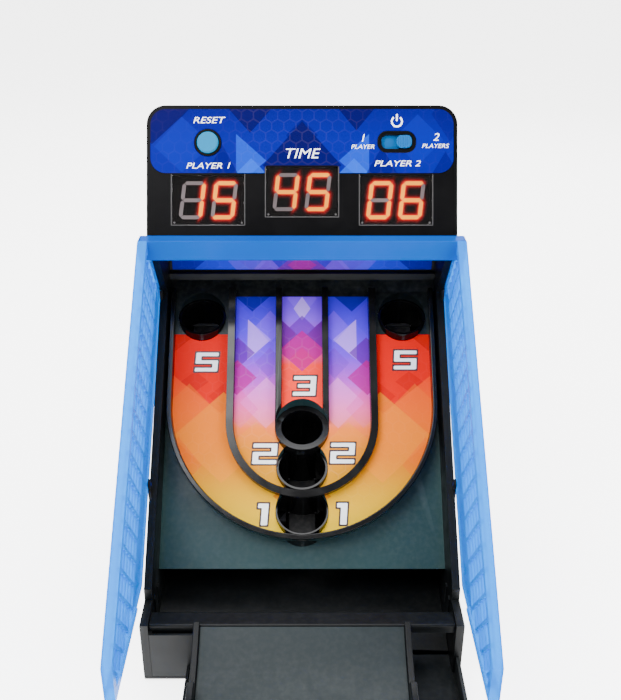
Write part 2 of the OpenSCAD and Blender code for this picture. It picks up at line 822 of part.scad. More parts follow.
module scoreboard_front() {
  color([0.06, 0.06, 0.07])
    difference() {
      union() {
        intersection() {
          score_block(0);
          front_slab(split_d);
        }
        on_face() {
          translate([button_x, button_y, -slip]) cylinder(r = bezel_r, h = bezel_h + slip);
          translate([slot_x, slot_y, -slip]) linear_extrude(0.8 + slip) slot_shape(slot_rim);
        }
      }
      intersection() {
        score_block(score_skin);
        front_slab(split_d + 10);
      }
      on_face() {
        at_windows() cube([window_w, window_h, 12], center = true);
        translate([button_x, button_y, -10]) cylinder(r = button_r + slip, h = 20);
        translate([slot_x, slot_y, -10]) linear_extrude(20) slot_shape(0);
      }
    }
}
module scoreboard_back() {
  color([0.06, 0.06, 0.07])
    difference() {
      score_block(0);
      score_block(score_skin);
      front_slab(split_d + slip);
      // Way in for the wires
      block([-60, 60], [inner_wall_y + skin + 1, cover_y - 2], [score_z - 1, score_z + score_skin + 1]);
      // Speaker slots
      for (i = [-3:3])
        block([-20 + abs(i) * 2, 20 - abs(i) * 2], [back_y - 20, back_y + 1],
          [speaker_z + i * 6 - 1, speaker_z + i * 6 + 1.6]);
    }
}
module scoreboard_graphic() {
  edge = score_print_edge;
  low_y = face_len - edge - score_print_h;
  notch_h = window_mid_y + window_h / 2 + 1.2;
  color([0.05, 0.3, 0.85])
    on_face()
      linear_extrude(film_t)
        difference() {
          translate([0, (face_len - edge + low_y) / 2])
            rounded(2 * (score_half_w - edge), score_print_h, corner_r - edge);
          translate([0, notch_h / 2]) rounded(window_w + 2.4, notch_h, 3);
          translate([button_x, button_y]) circle(bezel_r + gap);
          translate([slot_x, slot_y]) slot_shape(slot_rim + gap);
        }
}
module window_lens(x, y) {
  color([0.12, 0.05, 0.05, 0.5])
    on_face() translate([x, y, -lens_set - lens_t / 2])
      cube([window_w - 2 * slip, window_h - 2 * slip, lens_t], center = true);
}
module window_player_one() { window_lens(-window_side_x, window_side_y); }
module window_time() { window_lens(0, window_mid_y); }
module window_player_two() { window_lens(window_side_x, window_side_y); }
module display(x, y) {
  color([0.04, 0.04, 0.045])
    on_face() translate([x - window_w / 2 - 3, y - window_h / 2 - gap, -score_skin - module_d])
      cube([window_w + 6, window_h + gap + 3, module_d]);
}
module display_player_one() { display(-window_side_x, window_side_y); }
module display_time() { display(0, window_mid_y); }
module display_player_two() { display(window_side_x, window_side_y); }
// Bars of a digit in the order top, upper right, lower right, bottom, lower left, upper left, middle
BARS = [
  [1, 1, 1, 1, 1, 1, 0], [0, 1, 1, 0, 0, 0, 0], [1, 1, 0, 1, 1, 0, 1], [1, 1, 1, 1, 0, 0, 1],
  [0, 1, 1, 0, 0, 1, 1], [1, 0, 1, 1, 0, 1, 1], [1, 0, 1, 1, 1, 1, 1]
];
module bar(long) {
  h = bar_w / 2;
  polygon([[-long / 2, 0], [-long / 2 + h, h], [long / 2 - h, h], [long / 2, 0], [long / 2 - h, -h],
    [-long / 2 + h, -h]]);
}
module digit_bar(i) {
  wide = digit_w - bar_w;
  tall = (digit_h - bar_w) / 2;
  place = [[0, tall, 0], [wide / 2, tall / 2, 90], [wide / 2, -tall / 2, 90], [0, -tall, 0],
    [-wide / 2, -tall / 2, 90], [-wide / 2, tall / 2, 90], [0, 0, 0]];
  p = place[i];
  multmatrix([[1, digit_slant, 0, 0], [0, 1, 0, 0], [0, 0, 1, 0], [0, 0, 0, 1]])
    translate([p[0], p[1], 0]) rotate(p[2])
      linear_extrude(0.4) bar((p[2] == 0 ? wide : tall) - 0.5);
}
module segments(on) {
  shown = [[-window_side_x, window_side_y, 1, 5], [0, window_mid_y, 4, 5], [window_side_x, window_side_y, 0, 6]];
  on_face()
    for (w = shown, side = [0, 1], i = [0:6])
      if (BARS[w[2 + side]][i] == on)
        translate([w[0] + (side - 0.5) * digit_pitch, w[1], -score_skin]) digit_bar(i);
}
module lit_segments() { color([1, 0.35, 0.1]) segments(1); }
module unlit_segments() { color([0.45, 0.45, 0.47]) segments(0); }
module main_board() {
  color([0.1, 0.35, 0.2])
    on_face() translate([-main_w / 2, main_low, -pcb_d - pcb_t]) cube([main_w, main_h, pcb_t]);
}
module reset_button() {
  color([0.1, 0.62, 0.9])
    on_face() translate([button_x, button_y, 0]) {
      translate([0, 0, -score_skin - 1]) cylinder(r = button_r, h = score_skin + button_proud);
      translate([0, 0, button_proud - 1.2]) cylinder(r = button_r - 0.8, h = 1.2 + slip);
      translate([0, 0, -score_skin - 2.6]) cylinder(r = button_r + 1.6, h = 2.4);
      translate([0, 0, -pcb_d + 4.4 + button_travel + gap]) cylinder(r = 2.2, h = 6);
    }
}
module reset_switch() {
  color([0.15, 0.15, 0.16])
    on_face() translate([button_x, button_y, -pcb_d]) {
      translate([-3, -3, 0]) cube([6, 6, 3.5]);
      cylinder(r = 1.75, h = 4.4);
    }
}
module player_knob() {
  color([0.1, 0.55, 0.95])
    on_face() translate([slot_x + knob_rest, slot_y, 0]) {
      translate([0, 0, -score_skin - 1.2]) linear_extrude(score_skin + 3.4) rounded(knob_w, slot_w - 1.2, 4.2);
      // Grip ridge
      for (x = [-4, 0, 4]) translate([x - 0.6, -5, 0]) cube([1.2, 10, 2.9]);
      // Shutter that covers the rest of the slot from behind
      translate([-slot_l / 2 - 9, -slot_w / 2 - 2, -score_skin - 1.8]) cube([slot_l + 18, slot_w + 4, 1.4]);
      translate([-1.5, -1.5, -pcb_d + 6.3]) cube([3, 3, pcb_d - 6.3 - score_skin - 1]);
    }
}
module player_switch() {
  color([0.6, 0.62, 0.65])
    on_face() translate([slot_x, slot_y, -pcb_d + 3]) cube([26, 8, 6], center = true);
}
speaker_z = score_z + 42;
module speaker() {
  back_wall_y = score_y + face_len * cos(score_lean) + score_top_d;
  lean = atan((back_y - back_wall_y) / (face_len * sin(score_lean)));
  color([0.5, 0.5, 0.52])
    translate([0, back_y - (speaker_z - score_z) * tan(lean) - score_skin - 3, speaker_z])
      rotate([90 + lean, 0, 0]) {
        cylinder(r = 20, h = 3);
        cylinder(r = 11, h = 9);
      }
}

// ---- Batteries ----
module battery_box() {
  color([0.09, 0.09, 0.1])
    difference() {
      union() {
        block([-box_half_w, box_half_w], [cover_y - box_d, cover_y], [box_low + 0.6, box_top]);
        // Flange against the rear cover, below the door's lugs
        block([-door_w / 2 - 6, door_w / 2 + 6], [cover_y - box_wall, cover_y],
          [box_low - 6, door_top_z - 5]);
      }
      block([-box_half_w + box_wall, box_half_w - box_wall], [cover_y - box_d + box_wall, cover_y + 1],
        [box_low + 0.6 + box_wall, box_top - box_wall]);
    }
}
module batteries() {
  color([0.75, 0.62, 0.2])
    for (z = cell_z, s = [-1, 1])
      translate([s * (cell_len / 2 + 2.4), cell_y, z]) rotate([0, 90, 0]) {
        translate([0, 0, -cell_len / 2]) cylinder(r = cell_r, h = cell_len);
        translate([0, 0, -cell_len / 2 - 1]) cylinder(r = 2.7, h = cell_len + 1);
      }
}
module battery_contacts() {
  color([0.7, 0.71, 0.73])
    for (z = cell_z, s = [-1, 1])
      translate([s * (box_half_w - box_wall - 0.4), cell_y, z]) rotate([0, 90, 0])
        cylinder(r = 4.5, h = 0.8, center = true);
}
module battery_door() {
  color([0.08, 0.08, 0.09])
    difference() {
      union() {
        block([-door_w / 2, door_w / 2], [cover_y + gap, back_y], [box_low, door_top_z]);
        translate([-door_w / 2, axle_y, door_top_z]) rotate([0, 90, 0]) cylinder(r = lip_r, h = door_w);
        translate([-door_w / 2 - 4, axle_y, door_top_z]) rotate([0, 90, 0]) cylinder(r = axle_r, h = door_w + 8);
      }
      // Finger notch
      translate([0, back_y + 1.4, box_low]) rotate([90, 0, 0]) cylinder(r = 8, h = 2.2);
    }
}

// ---- Wiring and screws ----
module wire(points, r) {
  for (i = [0:len(points) - 2]) {
    d = points[i + 1] - points[i];
    translate(points[i]) rotate([0, acos(d[2] / norm(d)), atan2(d[1], d[0])])
      cylinder(r = r, h = norm(d), $fn = 16);
    if (i > 0) translate(points[i]) sphere(r = r, $fn = 16);
  }
}
module wiring() {
  shaft_y = (inner_wall_y + skin + cover_y) / 2;
  top_z = score_z + 26;
  color([0.7, 0.1, 0.08]) {
    for (s = [-1, 1])
      wire([[s * 45, cover_y - box_d + 1, door_top_z + 4], [s * 45, shaft_y, door_top_z + 24],
        [s * 45, shaft_y, top_z], [s * 45, shaft_y - 16, top_z + 6]], 0.9);
  }
}
module at_case_screws() {
  for (x = [-1, 1], z = [30, 180, tower_top - 14])
    translate([x * (play_half_w + wall_t / 2), back_y, z]) rotate([90, 0, 0]) children();
}
module case_screw(grow) {
  translate([0, 0, -1 - grow]) cylinder(r = case_head_r + grow, h = 1 + case_head_h + grow * 2);
  cylinder(r = case_screw_r, h = 8);
}
module case_screws() {
  color([0.35, 0.36, 0.38])
    at_case_screws()
      difference() {
        case_screw(0);
        translate([0, 0, -2]) cylinder(r = 4, h = 2);
        // Cross recess
        for (a = [0, 90]) rotate(a) translate([-1.5, -0.3, -0.1]) cube([3, 0.6, 0.7]);
      }
}

base_tray();
rubber_feet();
left_side_wall();
right_side_wall();
back_wall();
rear_cover();
back_graphic();
target_board();
outer_rail();
middle_rail();
inner_rails();
outer_graphic();
middle_graphic();
inner_graphic();
cup_five_left();
cup_five_right();
cup_three();
cup_two();
cup_one();
flap_five_left();
flap_five_right();
flap_three();
flap_two();
flap_one();
flap_pins();
sensor_boards();
score_switches();
return_floor();
jump_ramp();
lane_bed();
left_lane_rail();
right_lane_rail();
ball_gutter();
left_guard();
right_guard();
guard_crossbar();
guard_screws();
scoreboard_front();
scoreboard_back();
scoreboard_graphic();
window_player_one();
window_time();
window_player_two();
display_player_one();
display_time();
display_player_two();
lit_segments();
unlit_segments();
main_board();
reset_button();
reset_switch();
player_knob();
player_switch();
speaker();
battery_box();
batteries();
battery_contacts();
battery_door();
wiring();
case_screws();
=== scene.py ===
"""Dresses a tabletop alley-roll target game for display.

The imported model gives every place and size. Each sub-assembly takes its own nodes, rounds the moulded edges,
lays film, numerals and lamps on them, and gives every piece the finish of its material slot.
"""

from __future__ import annotations

import json
import logging
import math
from dataclasses import dataclass
from enum import Enum
from typing import ClassVar, Iterable, Sequence

import bmesh
import bpy
from mathutils import Matrix, Vector, geometry

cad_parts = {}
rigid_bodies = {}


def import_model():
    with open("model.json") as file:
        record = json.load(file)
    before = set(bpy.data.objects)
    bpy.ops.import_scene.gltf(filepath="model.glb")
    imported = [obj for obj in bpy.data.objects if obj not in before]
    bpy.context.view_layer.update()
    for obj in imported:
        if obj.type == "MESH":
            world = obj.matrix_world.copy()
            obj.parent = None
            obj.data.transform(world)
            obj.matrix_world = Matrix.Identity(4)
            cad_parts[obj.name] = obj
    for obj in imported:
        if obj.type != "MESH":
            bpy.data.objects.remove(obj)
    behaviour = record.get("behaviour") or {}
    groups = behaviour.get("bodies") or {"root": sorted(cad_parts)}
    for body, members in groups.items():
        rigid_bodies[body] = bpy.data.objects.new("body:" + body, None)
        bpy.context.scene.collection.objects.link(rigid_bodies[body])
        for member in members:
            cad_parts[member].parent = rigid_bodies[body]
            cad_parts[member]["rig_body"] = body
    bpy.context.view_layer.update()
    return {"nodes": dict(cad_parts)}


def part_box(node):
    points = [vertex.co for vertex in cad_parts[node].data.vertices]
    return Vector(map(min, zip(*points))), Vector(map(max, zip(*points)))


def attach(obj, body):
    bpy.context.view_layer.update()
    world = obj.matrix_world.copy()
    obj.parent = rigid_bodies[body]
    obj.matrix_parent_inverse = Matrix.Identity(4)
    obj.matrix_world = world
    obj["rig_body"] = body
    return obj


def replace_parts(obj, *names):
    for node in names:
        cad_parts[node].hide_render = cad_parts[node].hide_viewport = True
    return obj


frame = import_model()
MM = 0.001
MERGE = 0.004 * MM
log = logging.getLogger("target_game")

Point = tuple[float, float]
Colour = tuple[float, float, float, float]
Socket = bpy.types.NodeSocket


def paint(red: int, green: int, blue: int) -> Colour:
    """Turns a display colour into the linear colour that shaders take.

    Args:
        red: Red, 0 to 255.
        green: Green, 0 to 255.
        blue: Blue, 0 to 255.

    Returns:
        The linear colour with full opacity.
    """
    parts = [part / 255 for part in (red, green, blue)]
    lit = [part / 12.92 if part <= 0.04045 else ((part + 0.055) / 1.055) ** 2.4 for part in parts]
    return lit[0], lit[1], lit[2], 1.0


# ---------------------------------------------------------------- working surfaces


@dataclass(frozen=True)
class Surface:
    """A flat surface of the machine, with X across, Y up the surface and Z out of it.

    Attributes:
        top: The middle of the surface's top line, in metres.
        lean: Angle of the surface above the horizontal, in degrees.
    """

    top: Vector
    lean: float

    def matrix(self) -> Matrix:
        """Gives the matrix that takes the surface's own places to the machine's."""
        return Matrix.Translation(self.top) @ Matrix.Rotation(math.radians(self.lean), 4, "X")

    def up(self) -> Vector:
        """Gives the direction up the surface."""
        return self.matrix().to_3x3() @ Vector((0, 1, 0))


BOARD_LEAN = 45.0
FACE_LEAN = 63.0
FACE_LENGTH = 113.3 * MM
RAIL_HEIGHT = 8.5 * MM


def board_surface() -> Surface:
    """Finds the target board's surface from the outer rail that stands on it.

    Returns:
        The surface.
    """
    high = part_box("outer_rail")[1]
    rise = RAIL_HEIGHT * math.cos(math.radians(BOARD_LEAN))
    return Surface(Vector((0, high.y, high.z - rise)), BOARD_LEAN)


def face_surface() -> Surface:
    """Finds the scoreboard's face from the foot of its front shell.

    Returns:
        The face.
    """
    low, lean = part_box("scoreboard_front")[0], math.radians(FACE_LEAN)
    run = Vector((0, math.cos(lean), math.sin(lean))) * FACE_LENGTH
    return Surface(Vector((0, low.y, low.z)) + run, FACE_LEAN)


def strip_surface() -> Surface:
    """Finds the printed strip on the back wall."""
    low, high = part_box("back_graphic")
    return Surface(Vector((0, low.y, high.z)), 90.0)


# ---------------------------------------------------------------- shader effects


class Bench:
    """Places and links nodes in one shader tree."""

    def __init__(self, tree: bpy.types.NodeTree) -> None:
        """Takes the tree to work in.

        Args:
            tree: A material's node tree or a node group.
        """
        self.tree = tree

    def put(self, socket: Socket, value: object) -> None:
        """Links a socket to another one, or sets its constant.

        Args:
            socket: The input to feed.
            value: An output socket, a number, a vector or a colour.
        """
        if isinstance(value, Socket):
            self.tree.links.new(value, socket)
        elif value is not None:
            socket.default_value = value

    def node(self, kind: str, inputs: dict | None = None, **settings: object) -> bpy.types.Node:
        """Adds a node.

        Args:
            kind: The node's type name.
            inputs: Values or sockets by input name or number.
            **settings: Properties of the node itself.

        Returns:
            The new node.
        """
        made = self.tree.nodes.new(kind)
        for name, value in settings.items():
            setattr(made, name, value)
        for name, value in (inputs or {}).items():
            self.put(made.inputs[name], value)
        return made

    def sum(self, operation: str, first: object, second: object = None, clamp: bool = False) -> Socket:
        """Adds a Math node and gives its result."""
        made = self.node("ShaderNodeMath", {0: first, 1: second}, operation=operation, use_clamp=clamp)
        return made.outputs[0]

    def vector(self, operation: str, first: object, second: object = None, out: str = "Vector") -> Socket:
        """Adds a Vector Math node and gives its result."""
        return self.node("ShaderNodeVectorMath", {0: first, 1: second}, operation=operation).outputs[out]

    def mix(self, share: object, first: object, second: object) -> Socket:
        """Mixes two colours.

        Args:
            share: Share of the second colour.
            first: The first colour, or its socket.
            second: The second colour, or its socket.

        Returns:
            The colour socket.
        """
        made = self.node("ShaderNodeMix", {"Factor": share}, data_type="RGBA")
        self.put(made.inputs[6], first)
        self.put(made.inputs[7], second)
        return made.outputs[2]

    def remap(
        self, value: object, low: float, high: float, to_low: float = 0.0, to_high: float = 1.0
    ) -> Socket:
        """Maps a value from one span to another, clamped, and gives the result."""
        made = self.node("ShaderNodeMapRange", {0: value, 1: low, 2: high, 3: to_low, 4: to_high})
        return made.outputs[0]

    def spot(self) -> Socket:
        """Gives the place in the object's own frame."""
        return self.node("ShaderNodeTexCoord").outputs["Object"]

    def noise(self, scale: object, detail: float, **settings: float) -> Socket:
        """Adds noise over the object's own frame and gives its strength.

        Args:
            scale: How fine the noise is.
            detail: How many finer layers it has.
            **settings: Further inputs by name.

        Returns:
            The strength, from 0 to 1.
        """
        inputs = {"Vector": self.spot(), "Scale": scale, "Detail": detail} | settings
        return self.node("ShaderNodeTexNoise", inputs).outputs["Fac"]

    def ramp(self, value: object, stops: Sequence[tuple[float, Colour]]) -> Socket:
        """Adds a colour ramp.

        Args:
            value: What runs along the ramp, from 0 to 1.
            stops: Places along the ramp with their colours.

        Returns:
            The colour socket.
        """
        made = self.node("ShaderNodeValToRGB", {0: value})
        band = made.color_ramp.elements
        while len(band) < len(stops):
            band.new(1.0)
        for stop, (place, colour) in zip(band, stops):
            stop.position = place
            stop.color = colour
        return made.outputs["Color"]

    def effect(self, group: bpy.types.NodeTree, inputs: dict) -> bpy.types.Node:
        """Places a shared effect.

        Args:
            group: The node group.
            inputs: Its values by input name.

        Returns:
            The group's node.
        """
        made = self.tree.nodes.new("ShaderNodeGroup")
        made.node_tree = group
        for name, value in inputs.items():
            self.put(made.inputs[name], value)
        return made


class Effects:
    """The shader effects that several finishes share, each built once."""

    def __init__(self) -> None:
        """Builds every group."""
        self.grain = self._grain()
        self.edges = self._edges()
        self.smudge = self._smudge()
        self.dust = self._dust()
        self.place = self._place()
        self.facet = self._facet()
        self.comb = self._comb()

    @staticmethod
    def _group(
        name: str, inputs: dict[str, object], outputs: Iterable[str]
    ) -> tuple[Bench, bpy.types.Node, bpy.types.Node]:
        """Starts a group.

        Args:
            name: The group's name.
            inputs: Default values by input name; a tuple makes a vector input.
            outputs: Names of the value outputs.

        Returns:
            A bench on the group, its input node and its output node.
        """
        tree = bpy.data.node_groups.new(name, "ShaderNodeTree")
        for label, value in inputs.items():
            kind = "NodeSocketVector" if isinstance(value, tuple) else "NodeSocketFloat"
            tree.interface.new_socket(label, in_out="INPUT", socket_type=kind).default_value = value
        for label in outputs:
            tree.interface.new_socket(label, in_out="OUTPUT", socket_type="NodeSocketFloat")
        return Bench(tree), tree.nodes.new("NodeGroupInput"), tree.nodes.new("NodeGroupOutput")

    def _grain(self) -> bpy.types.NodeTree:
        """Builds the fine eroded grain of a mould, and its slow drift in shade.

        Returns:
            The node group.
        """
        bench, into, out = self._group("moulded_grain", {"Scale": 2200.0}, ("Height", "Drift"))
        bench.put(out.inputs["Height"], bench.noise(into.outputs["Scale"], 2.0))
        bench.put(out.inputs["Drift"], bench.remap(bench.noise(14.0, 3.0), 0.3, 0.7))
        return bench.tree

    def _edges(self) -> bpy.types.NodeTree:
        """Builds the mask of sharp edges: rubbed wear on moulded plastic, a painted highlight on clear
        plastic.

        Returns:
            The node group.
        """
        bench, into, out = self._group("edge_wear_and_highlight", {"Amount": 0.5}, ("Mask",))
        keen = bench.remap(bench.node("ShaderNodeNewGeometry").outputs["Pointiness"], 0.6, 0.76)
        kept = bench.sum("MULTIPLY", keen, bench.remap(bench.noise(60.0, 4.0), 0.35, 0.65, 0.35, 1.0))
        bench.put(out.inputs["Mask"], bench.sum("MULTIPLY", kept, into.outputs["Amount"], clamp=True))
        return bench.tree

    def _smudge(self) -> bpy.types.NodeTree:
        """Builds the roughness of a surface that hands have touched.

        Returns:
            The node group.
        """
        names = {"Roughness": 0.3, "Spread": 0.1}
        bench, into, out = self._group("handled_gloss", names, ("Roughness",))
        prints = bench.noise(38.0, 5.0, Distortion=1.2)
        swing = bench.sum("SUBTRACT", bench.remap(prints, 0.35, 0.65), 0.5)
        added = bench.sum("MULTIPLY", swing, into.outputs["Spread"])
        bench.put(out.inputs["Roughness"], bench.sum("ADD", into.outputs["Roughness"], added, clamp=True))
        return bench.tree

    def _dust(self) -> bpy.types.NodeTree:
        """Builds the mask of fine dust that settles on upward faces.

        Returns:
            The node group.
        """
        bench, into, out = self._group("settled_dust", {"Amount": 0.1}, ("Mask",))
        normal = bench.node("ShaderNodeNewGeometry").outputs["Normal"]
        upward = bench.node("ShaderNodeSeparateXYZ", {0: normal}).outputs["Z"]
        specks = bench.remap(bench.noise(240.0, 6.0), 0.4, 0.75)
        laid = bench.sum("MULTIPLY", bench.remap(upward, 0.5, 1.0), specks)
        bench.put(out.inputs["Mask"], bench.sum("MULTIPLY", laid, into.outputs["Amount"], clamp=True))
        return bench.tree

    def _place(self) -> bpy.types.NodeTree:
        """Builds the place on a printed surface, in millimetres across and down from its top line.

        Returns:
            The node group.
        """
        bench, into, out = self._group("print_place", {"Top": (0, 0, 0), "Up": (0, 0, 1)}, ("Across", "Down"))
        spot = bench.spot()
        away = bench.vector("SUBTRACT", into.outputs["Top"], spot)
        down = bench.vector("DOT_PRODUCT", away, into.outputs["Up"], "Value")
        across = bench.node("ShaderNodeSeparateXYZ", {0: spot}).outputs["X"]
        bench.put(out.inputs["Across"], bench.sum("MULTIPLY", across, 1000.0))
        bench.put(out.inputs["Down"], bench.sum("MULTIPLY", down, 1000.0))
        return bench.tree

    def _facet(self) -> bpy.types.NodeTree:
        """Builds the mask of one printed diamond, or of its left or right half.

        Returns:
            The node group.
        """
        names = {"Across": 0.0, "Down": 0.0, "At_Across": 0.0, "At_Down": 0.0}
        names |= {"Half_Across": 10.0, "Half_Down": 10.0, "Side": 0.0, "Fade": 0.0}
        bench, into, out = self._group("print_facet", names, ("Mask",))
        pin = into.outputs
        offset = bench.sum("SUBTRACT", pin["Across"], pin["At_Across"])
        drop = bench.sum("SUBTRACT", pin["Down"], pin["At_Down"])
        wide = bench.sum("DIVIDE", bench.sum("ABSOLUTE", offset), pin["Half_Across"])
        tall = bench.sum("DIVIDE", bench.sum("ABSOLUTE", drop), pin["Half_Down"])
        inside = bench.remap(bench.sum("ADD", wide, tall), 1.015, 0.985)
        kept = bench.sum("GREATER_THAN", bench.sum("MULTIPLY", offset, pin["Side"]), -0.001)
        height = bench.remap(bench.sum("DIVIDE", drop, pin["Half_Down"]), -1.0, 1.0)
        faded = bench.sum("SUBTRACT", 1.0, bench.sum("MULTIPLY", height, pin["Fade"]))
        bench.put(out.inputs["Mask"], bench.sum("MULTIPLY", bench.sum("MULTIPLY", inside, kept), faded))
        return bench.tree

    def _comb(self) -> bpy.types.NodeTree:
        """Builds the mask of fine honeycomb lines over a print.

        Returns:
            The node group.
        """
        names = {"Across": 0.0, "Down": 0.0, "Pitch": 12.0, "Line": 0.06}
        bench, into, out = self._group("comb_lines", names, ("Mask",))
        flat_spot = {0: into.outputs["Across"], 1: into.outputs["Down"]}
        place = bench.node("ShaderNodeCombineXYZ", flat_spot).outputs[0]
        scaled = bench.vector("DIVIDE", place, into.outputs["Pitch"])
        cell, half = (1.0, math.sqrt(3), 1.0), (0.5, math.sqrt(3) / 2, 0.5)

        def gap_to_edge(shift: tuple[float, float, float]) -> Socket:
            """Gives how far inside its own cell a point lies.

            Args:
                shift: Where the lattice starts, as a share of a cell.

            Returns:
                The distance, as a share of a cell's width.
            """
            wrap = bench.vector("MODULO", bench.vector("ADD", scaled, shift), cell)
            wrap = bench.vector("MODULO", bench.vector("ADD", wrap, cell), cell)
            arm = bench.vector("ABSOLUTE", bench.vector("SUBTRACT", wrap, half))
            sloped = bench.vector("DOT_PRODUCT", arm, (0.5, math.sqrt(3) / 2, 0), "Value")
            flat = bench.node("ShaderNodeSeparateXYZ", {0: arm}).outputs["X"]
            return bench.sum("SUBTRACT", 0.5, bench.sum("MAXIMUM", sloped, flat))

        nearest = bench.sum("MAXIMUM", gap_to_edge((0, 0, 0)), gap_to_edge(half))
        soft = bench.sum("DIVIDE", nearest, into.outputs["Line"])
        bench.put(out.inputs["Mask"], bench.remap(soft, 1.0, 0.4))
        return bench.tree


# ---------------------------------------------------------------- finishes


DUST_COLOUR = paint(170, 168, 160)
# Reach, in millimetres, of the painted shade at the top of the target board.
PAINTED_SHADE_REACH = 150.0
OPAQUE = (1.0,)


def toned(colour: Colour, by: float, lift: float = 0.0) -> Colour:
    """Gives a colour made lighter or darker."""
    return tuple(min(1.0, part * by + lift) for part in colour[:3]) + OPAQUE


class Blank:
    """A new material, and what several finishes do to its shader."""

    def __init__(self, name: str, effects: Effects | None = None) -> None:
        """Starts the material.

        Args:
            name: The material's name.
            effects: The shared shader effects.
        """
        self.material = bpy.data.materials.new(name)
        self.material.use_nodes = True
        self.bench = Bench(self.material.node_tree)
        self.shader = self.material.node_tree.nodes["Principled BSDF"]
        self.effects = effects

    def feed(self, inputs: dict[str, object]) -> None:
        """Feeds the shader's inputs by name."""
        for name, value in inputs.items():
            self.bench.put(self.shader.inputs[name], value)

    def grain(self, scale: float) -> bpy.types.NodeOutputs:
        """Gives the outputs of the mould's grain."""
        return self.bench.effect(self.effects.grain, {"Scale": scale}).outputs

    def gloss(self, roughness: float, spread: float) -> None:
        """Gives the surface the gloss that hands leave."""
        handled = self.bench.effect(self.effects.smudge, {"Roughness": roughness, "Spread": spread})
        self.feed({"Roughness": handled.outputs["Roughness"]})

    def emboss(self, height: Socket, strength: float, distance: float) -> None:
        """Gives the surface a fine relief."""
        values = {"Height": height, "Strength": strength, "Distance": distance}
        self.feed({"Normal": self.bench.node("ShaderNodeBump", values).outputs["Normal"]})


@dataclass(frozen=True)
class Finish:
    """A look that becomes a material; each kind fills in the shader its own way."""

    def build(self, name: str, effects: Effects) -> bpy.types.Material:
        """Builds the material.

        Args:
            name: The material's name.
            effects: The shared shader effects.

        Returns:
            The material.
        """
        blank = Blank(name, effects)
        self.fill(blank)
        return blank.material

    def fill(self, blank: Blank) -> None:
        """Fills in the material's shader."""
        raise NotImplementedError


@dataclass(frozen=True)
class MouldedPlastic(Finish):
    """Injection moulded plastic with a fine grain.

    Attributes:
        colour: Colour of the plastic.
        roughness: Mean roughness.
        grain: Depth of the grain, in metres.
        grain_scale: Grains to the metre.
        drift: How much the shade wanders.
        rubbed: Share of brightening along edges.
        edge: Colour of rubbed edges.
        dust: Share of dust on upward faces.
        coat: Weight of the polished skin.
        shine: Specular level of the plastic itself.
        spread: How far hands change the gloss.
        deep: Painted shade, a darker colour laid on the top of the target board under the crossbar, which
            fades out over the painted shade's reach in millimetres.
    """

    colour: Colour
    roughness: float = 0.4
    grain: float = 0.00002
    grain_scale: float = 2200.0
    drift: float = 0.12
    rubbed: float = 0.35
    edge: Colour = paint(128, 136, 140)
    dust: float = 0.06
    coat: float = 0.0
    shine: float = 0.25
    spread: float = 0.12
    deep: Colour | None = None

    def fill(self, blank: Blank) -> None:
        """Fills in the material's shader.

        Args:
            blank: The new material.
        """
        bench, grain = blank.bench, blank.grain(self.grain_scale)
        share = bench.sum("MULTIPLY", grain["Drift"], self.drift)
        shade = bench.mix(share, self.colour, toned(self.colour, 1.9, 0.004))
        # Painted shade: the top of the target board takes the deep colour, which fades out down the board.
        if self.deep is not None:
            board = board_surface()
            place = bench.effect(blank.effects.place, {"Top": board.top, "Up": board.up()})
            along = bench.sum("DIVIDE", place.outputs["Down"], PAINTED_SHADE_REACH, clamp=True)
            shade = bench.mix(along, self.deep, shade)
        rubbed = bench.effect(blank.effects.edges, {"Amount": self.rubbed}).outputs["Mask"]
        laid = bench.effect(blank.effects.dust, {"Amount": self.dust}).outputs["Mask"]
        shade = bench.mix(laid, bench.mix(rubbed, shade, self.edge), DUST_COLOUR)
        blank.gloss(self.roughness, self.spread)
        blank.emboss(grain["Height"], 0.5, self.grain)
        blank.feed({"Base Color": shade, "Specular IOR Level": self.shine})
        blank.feed({"Coat Weight": self.coat, "Coat Roughness": 0.12})


@dataclass(frozen=True)
class TintedClear(Finish):
    """Coloured plastic that light passes through.

    Attributes:
        colour: Colour of a face seen square on.
        rim: Colour of a face seen at a glancing angle.
        passes: Share of the light that goes through.
        roughness: Haze of the surface.
        glow: Painted glow, emission standing in for light that the moulding seems to gather, as a share of its
            colour.
        bend: How strongly it bends light.
        shine: Specular level of its skin.
    """

    colour: Colour
    rim: Colour
    passes: float = 0.4
    roughness: float = 0.22
    glow: float = 0.0
    bend: float = 1.12
    shine: float = 0.05

    def fill(self, blank: Blank) -> None:
        """Fills in the material's shader.

        Args:
            blank: The new material.
        """
        bench, grain = blank.bench, blank.grain(900.0)
        facing = bench.node("ShaderNodeLayerWeight", {"Blend": 0.35}).outputs["Facing"]
        shade = bench.mix(facing, self.colour, self.rim)
        shade = bench.mix(bench.sum("MULTIPLY", grain["Drift"], 0.08), shade, paint(0, 150, 255))
        # Painted highlight: sharp edges of the clear plastic are lightened to a paler blue.
        bright = bench.effect(blank.effects.edges, {"Amount": 0.3}).outputs["Mask"]
        shade = bench.mix(bright, shade, paint(0, 150, 230))
        blank.gloss(self.roughness, 0.08)
        blank.emboss(grain["Height"], 0.3, 0.00002)
        # Painted glow: the emission makes the clear plastic look lit, though it is no lamp.
        blank.feed({"Base Color": shade, "Emission Color": shade, "Emission Strength": self.glow})
        blank.feed({"Transmission Weight": self.passes, "IOR": self.bend, "Specular IOR Level": self.shine})


@dataclass(frozen=True)
class Facet:
    """One printed diamond.

    Attributes:
        across: Place of its centre across the print, in millimetres.
        down: Place of its centre down from the print's top line, in millimetres.
        half_across: Half its width.
        half_down: Half its height.
        colour: Its colour.
        share: How strongly it covers what is under it.
        side: -1 keeps the left half, 1 the right half and 0 both.
        fade: How much of it has faded away at its foot.
    """

    across: float
    down: float
    half_across: float
    half_down: float
    colour: Colour
    share: float = 0.8
    side: float = 0.0
    fade: float = 0.0


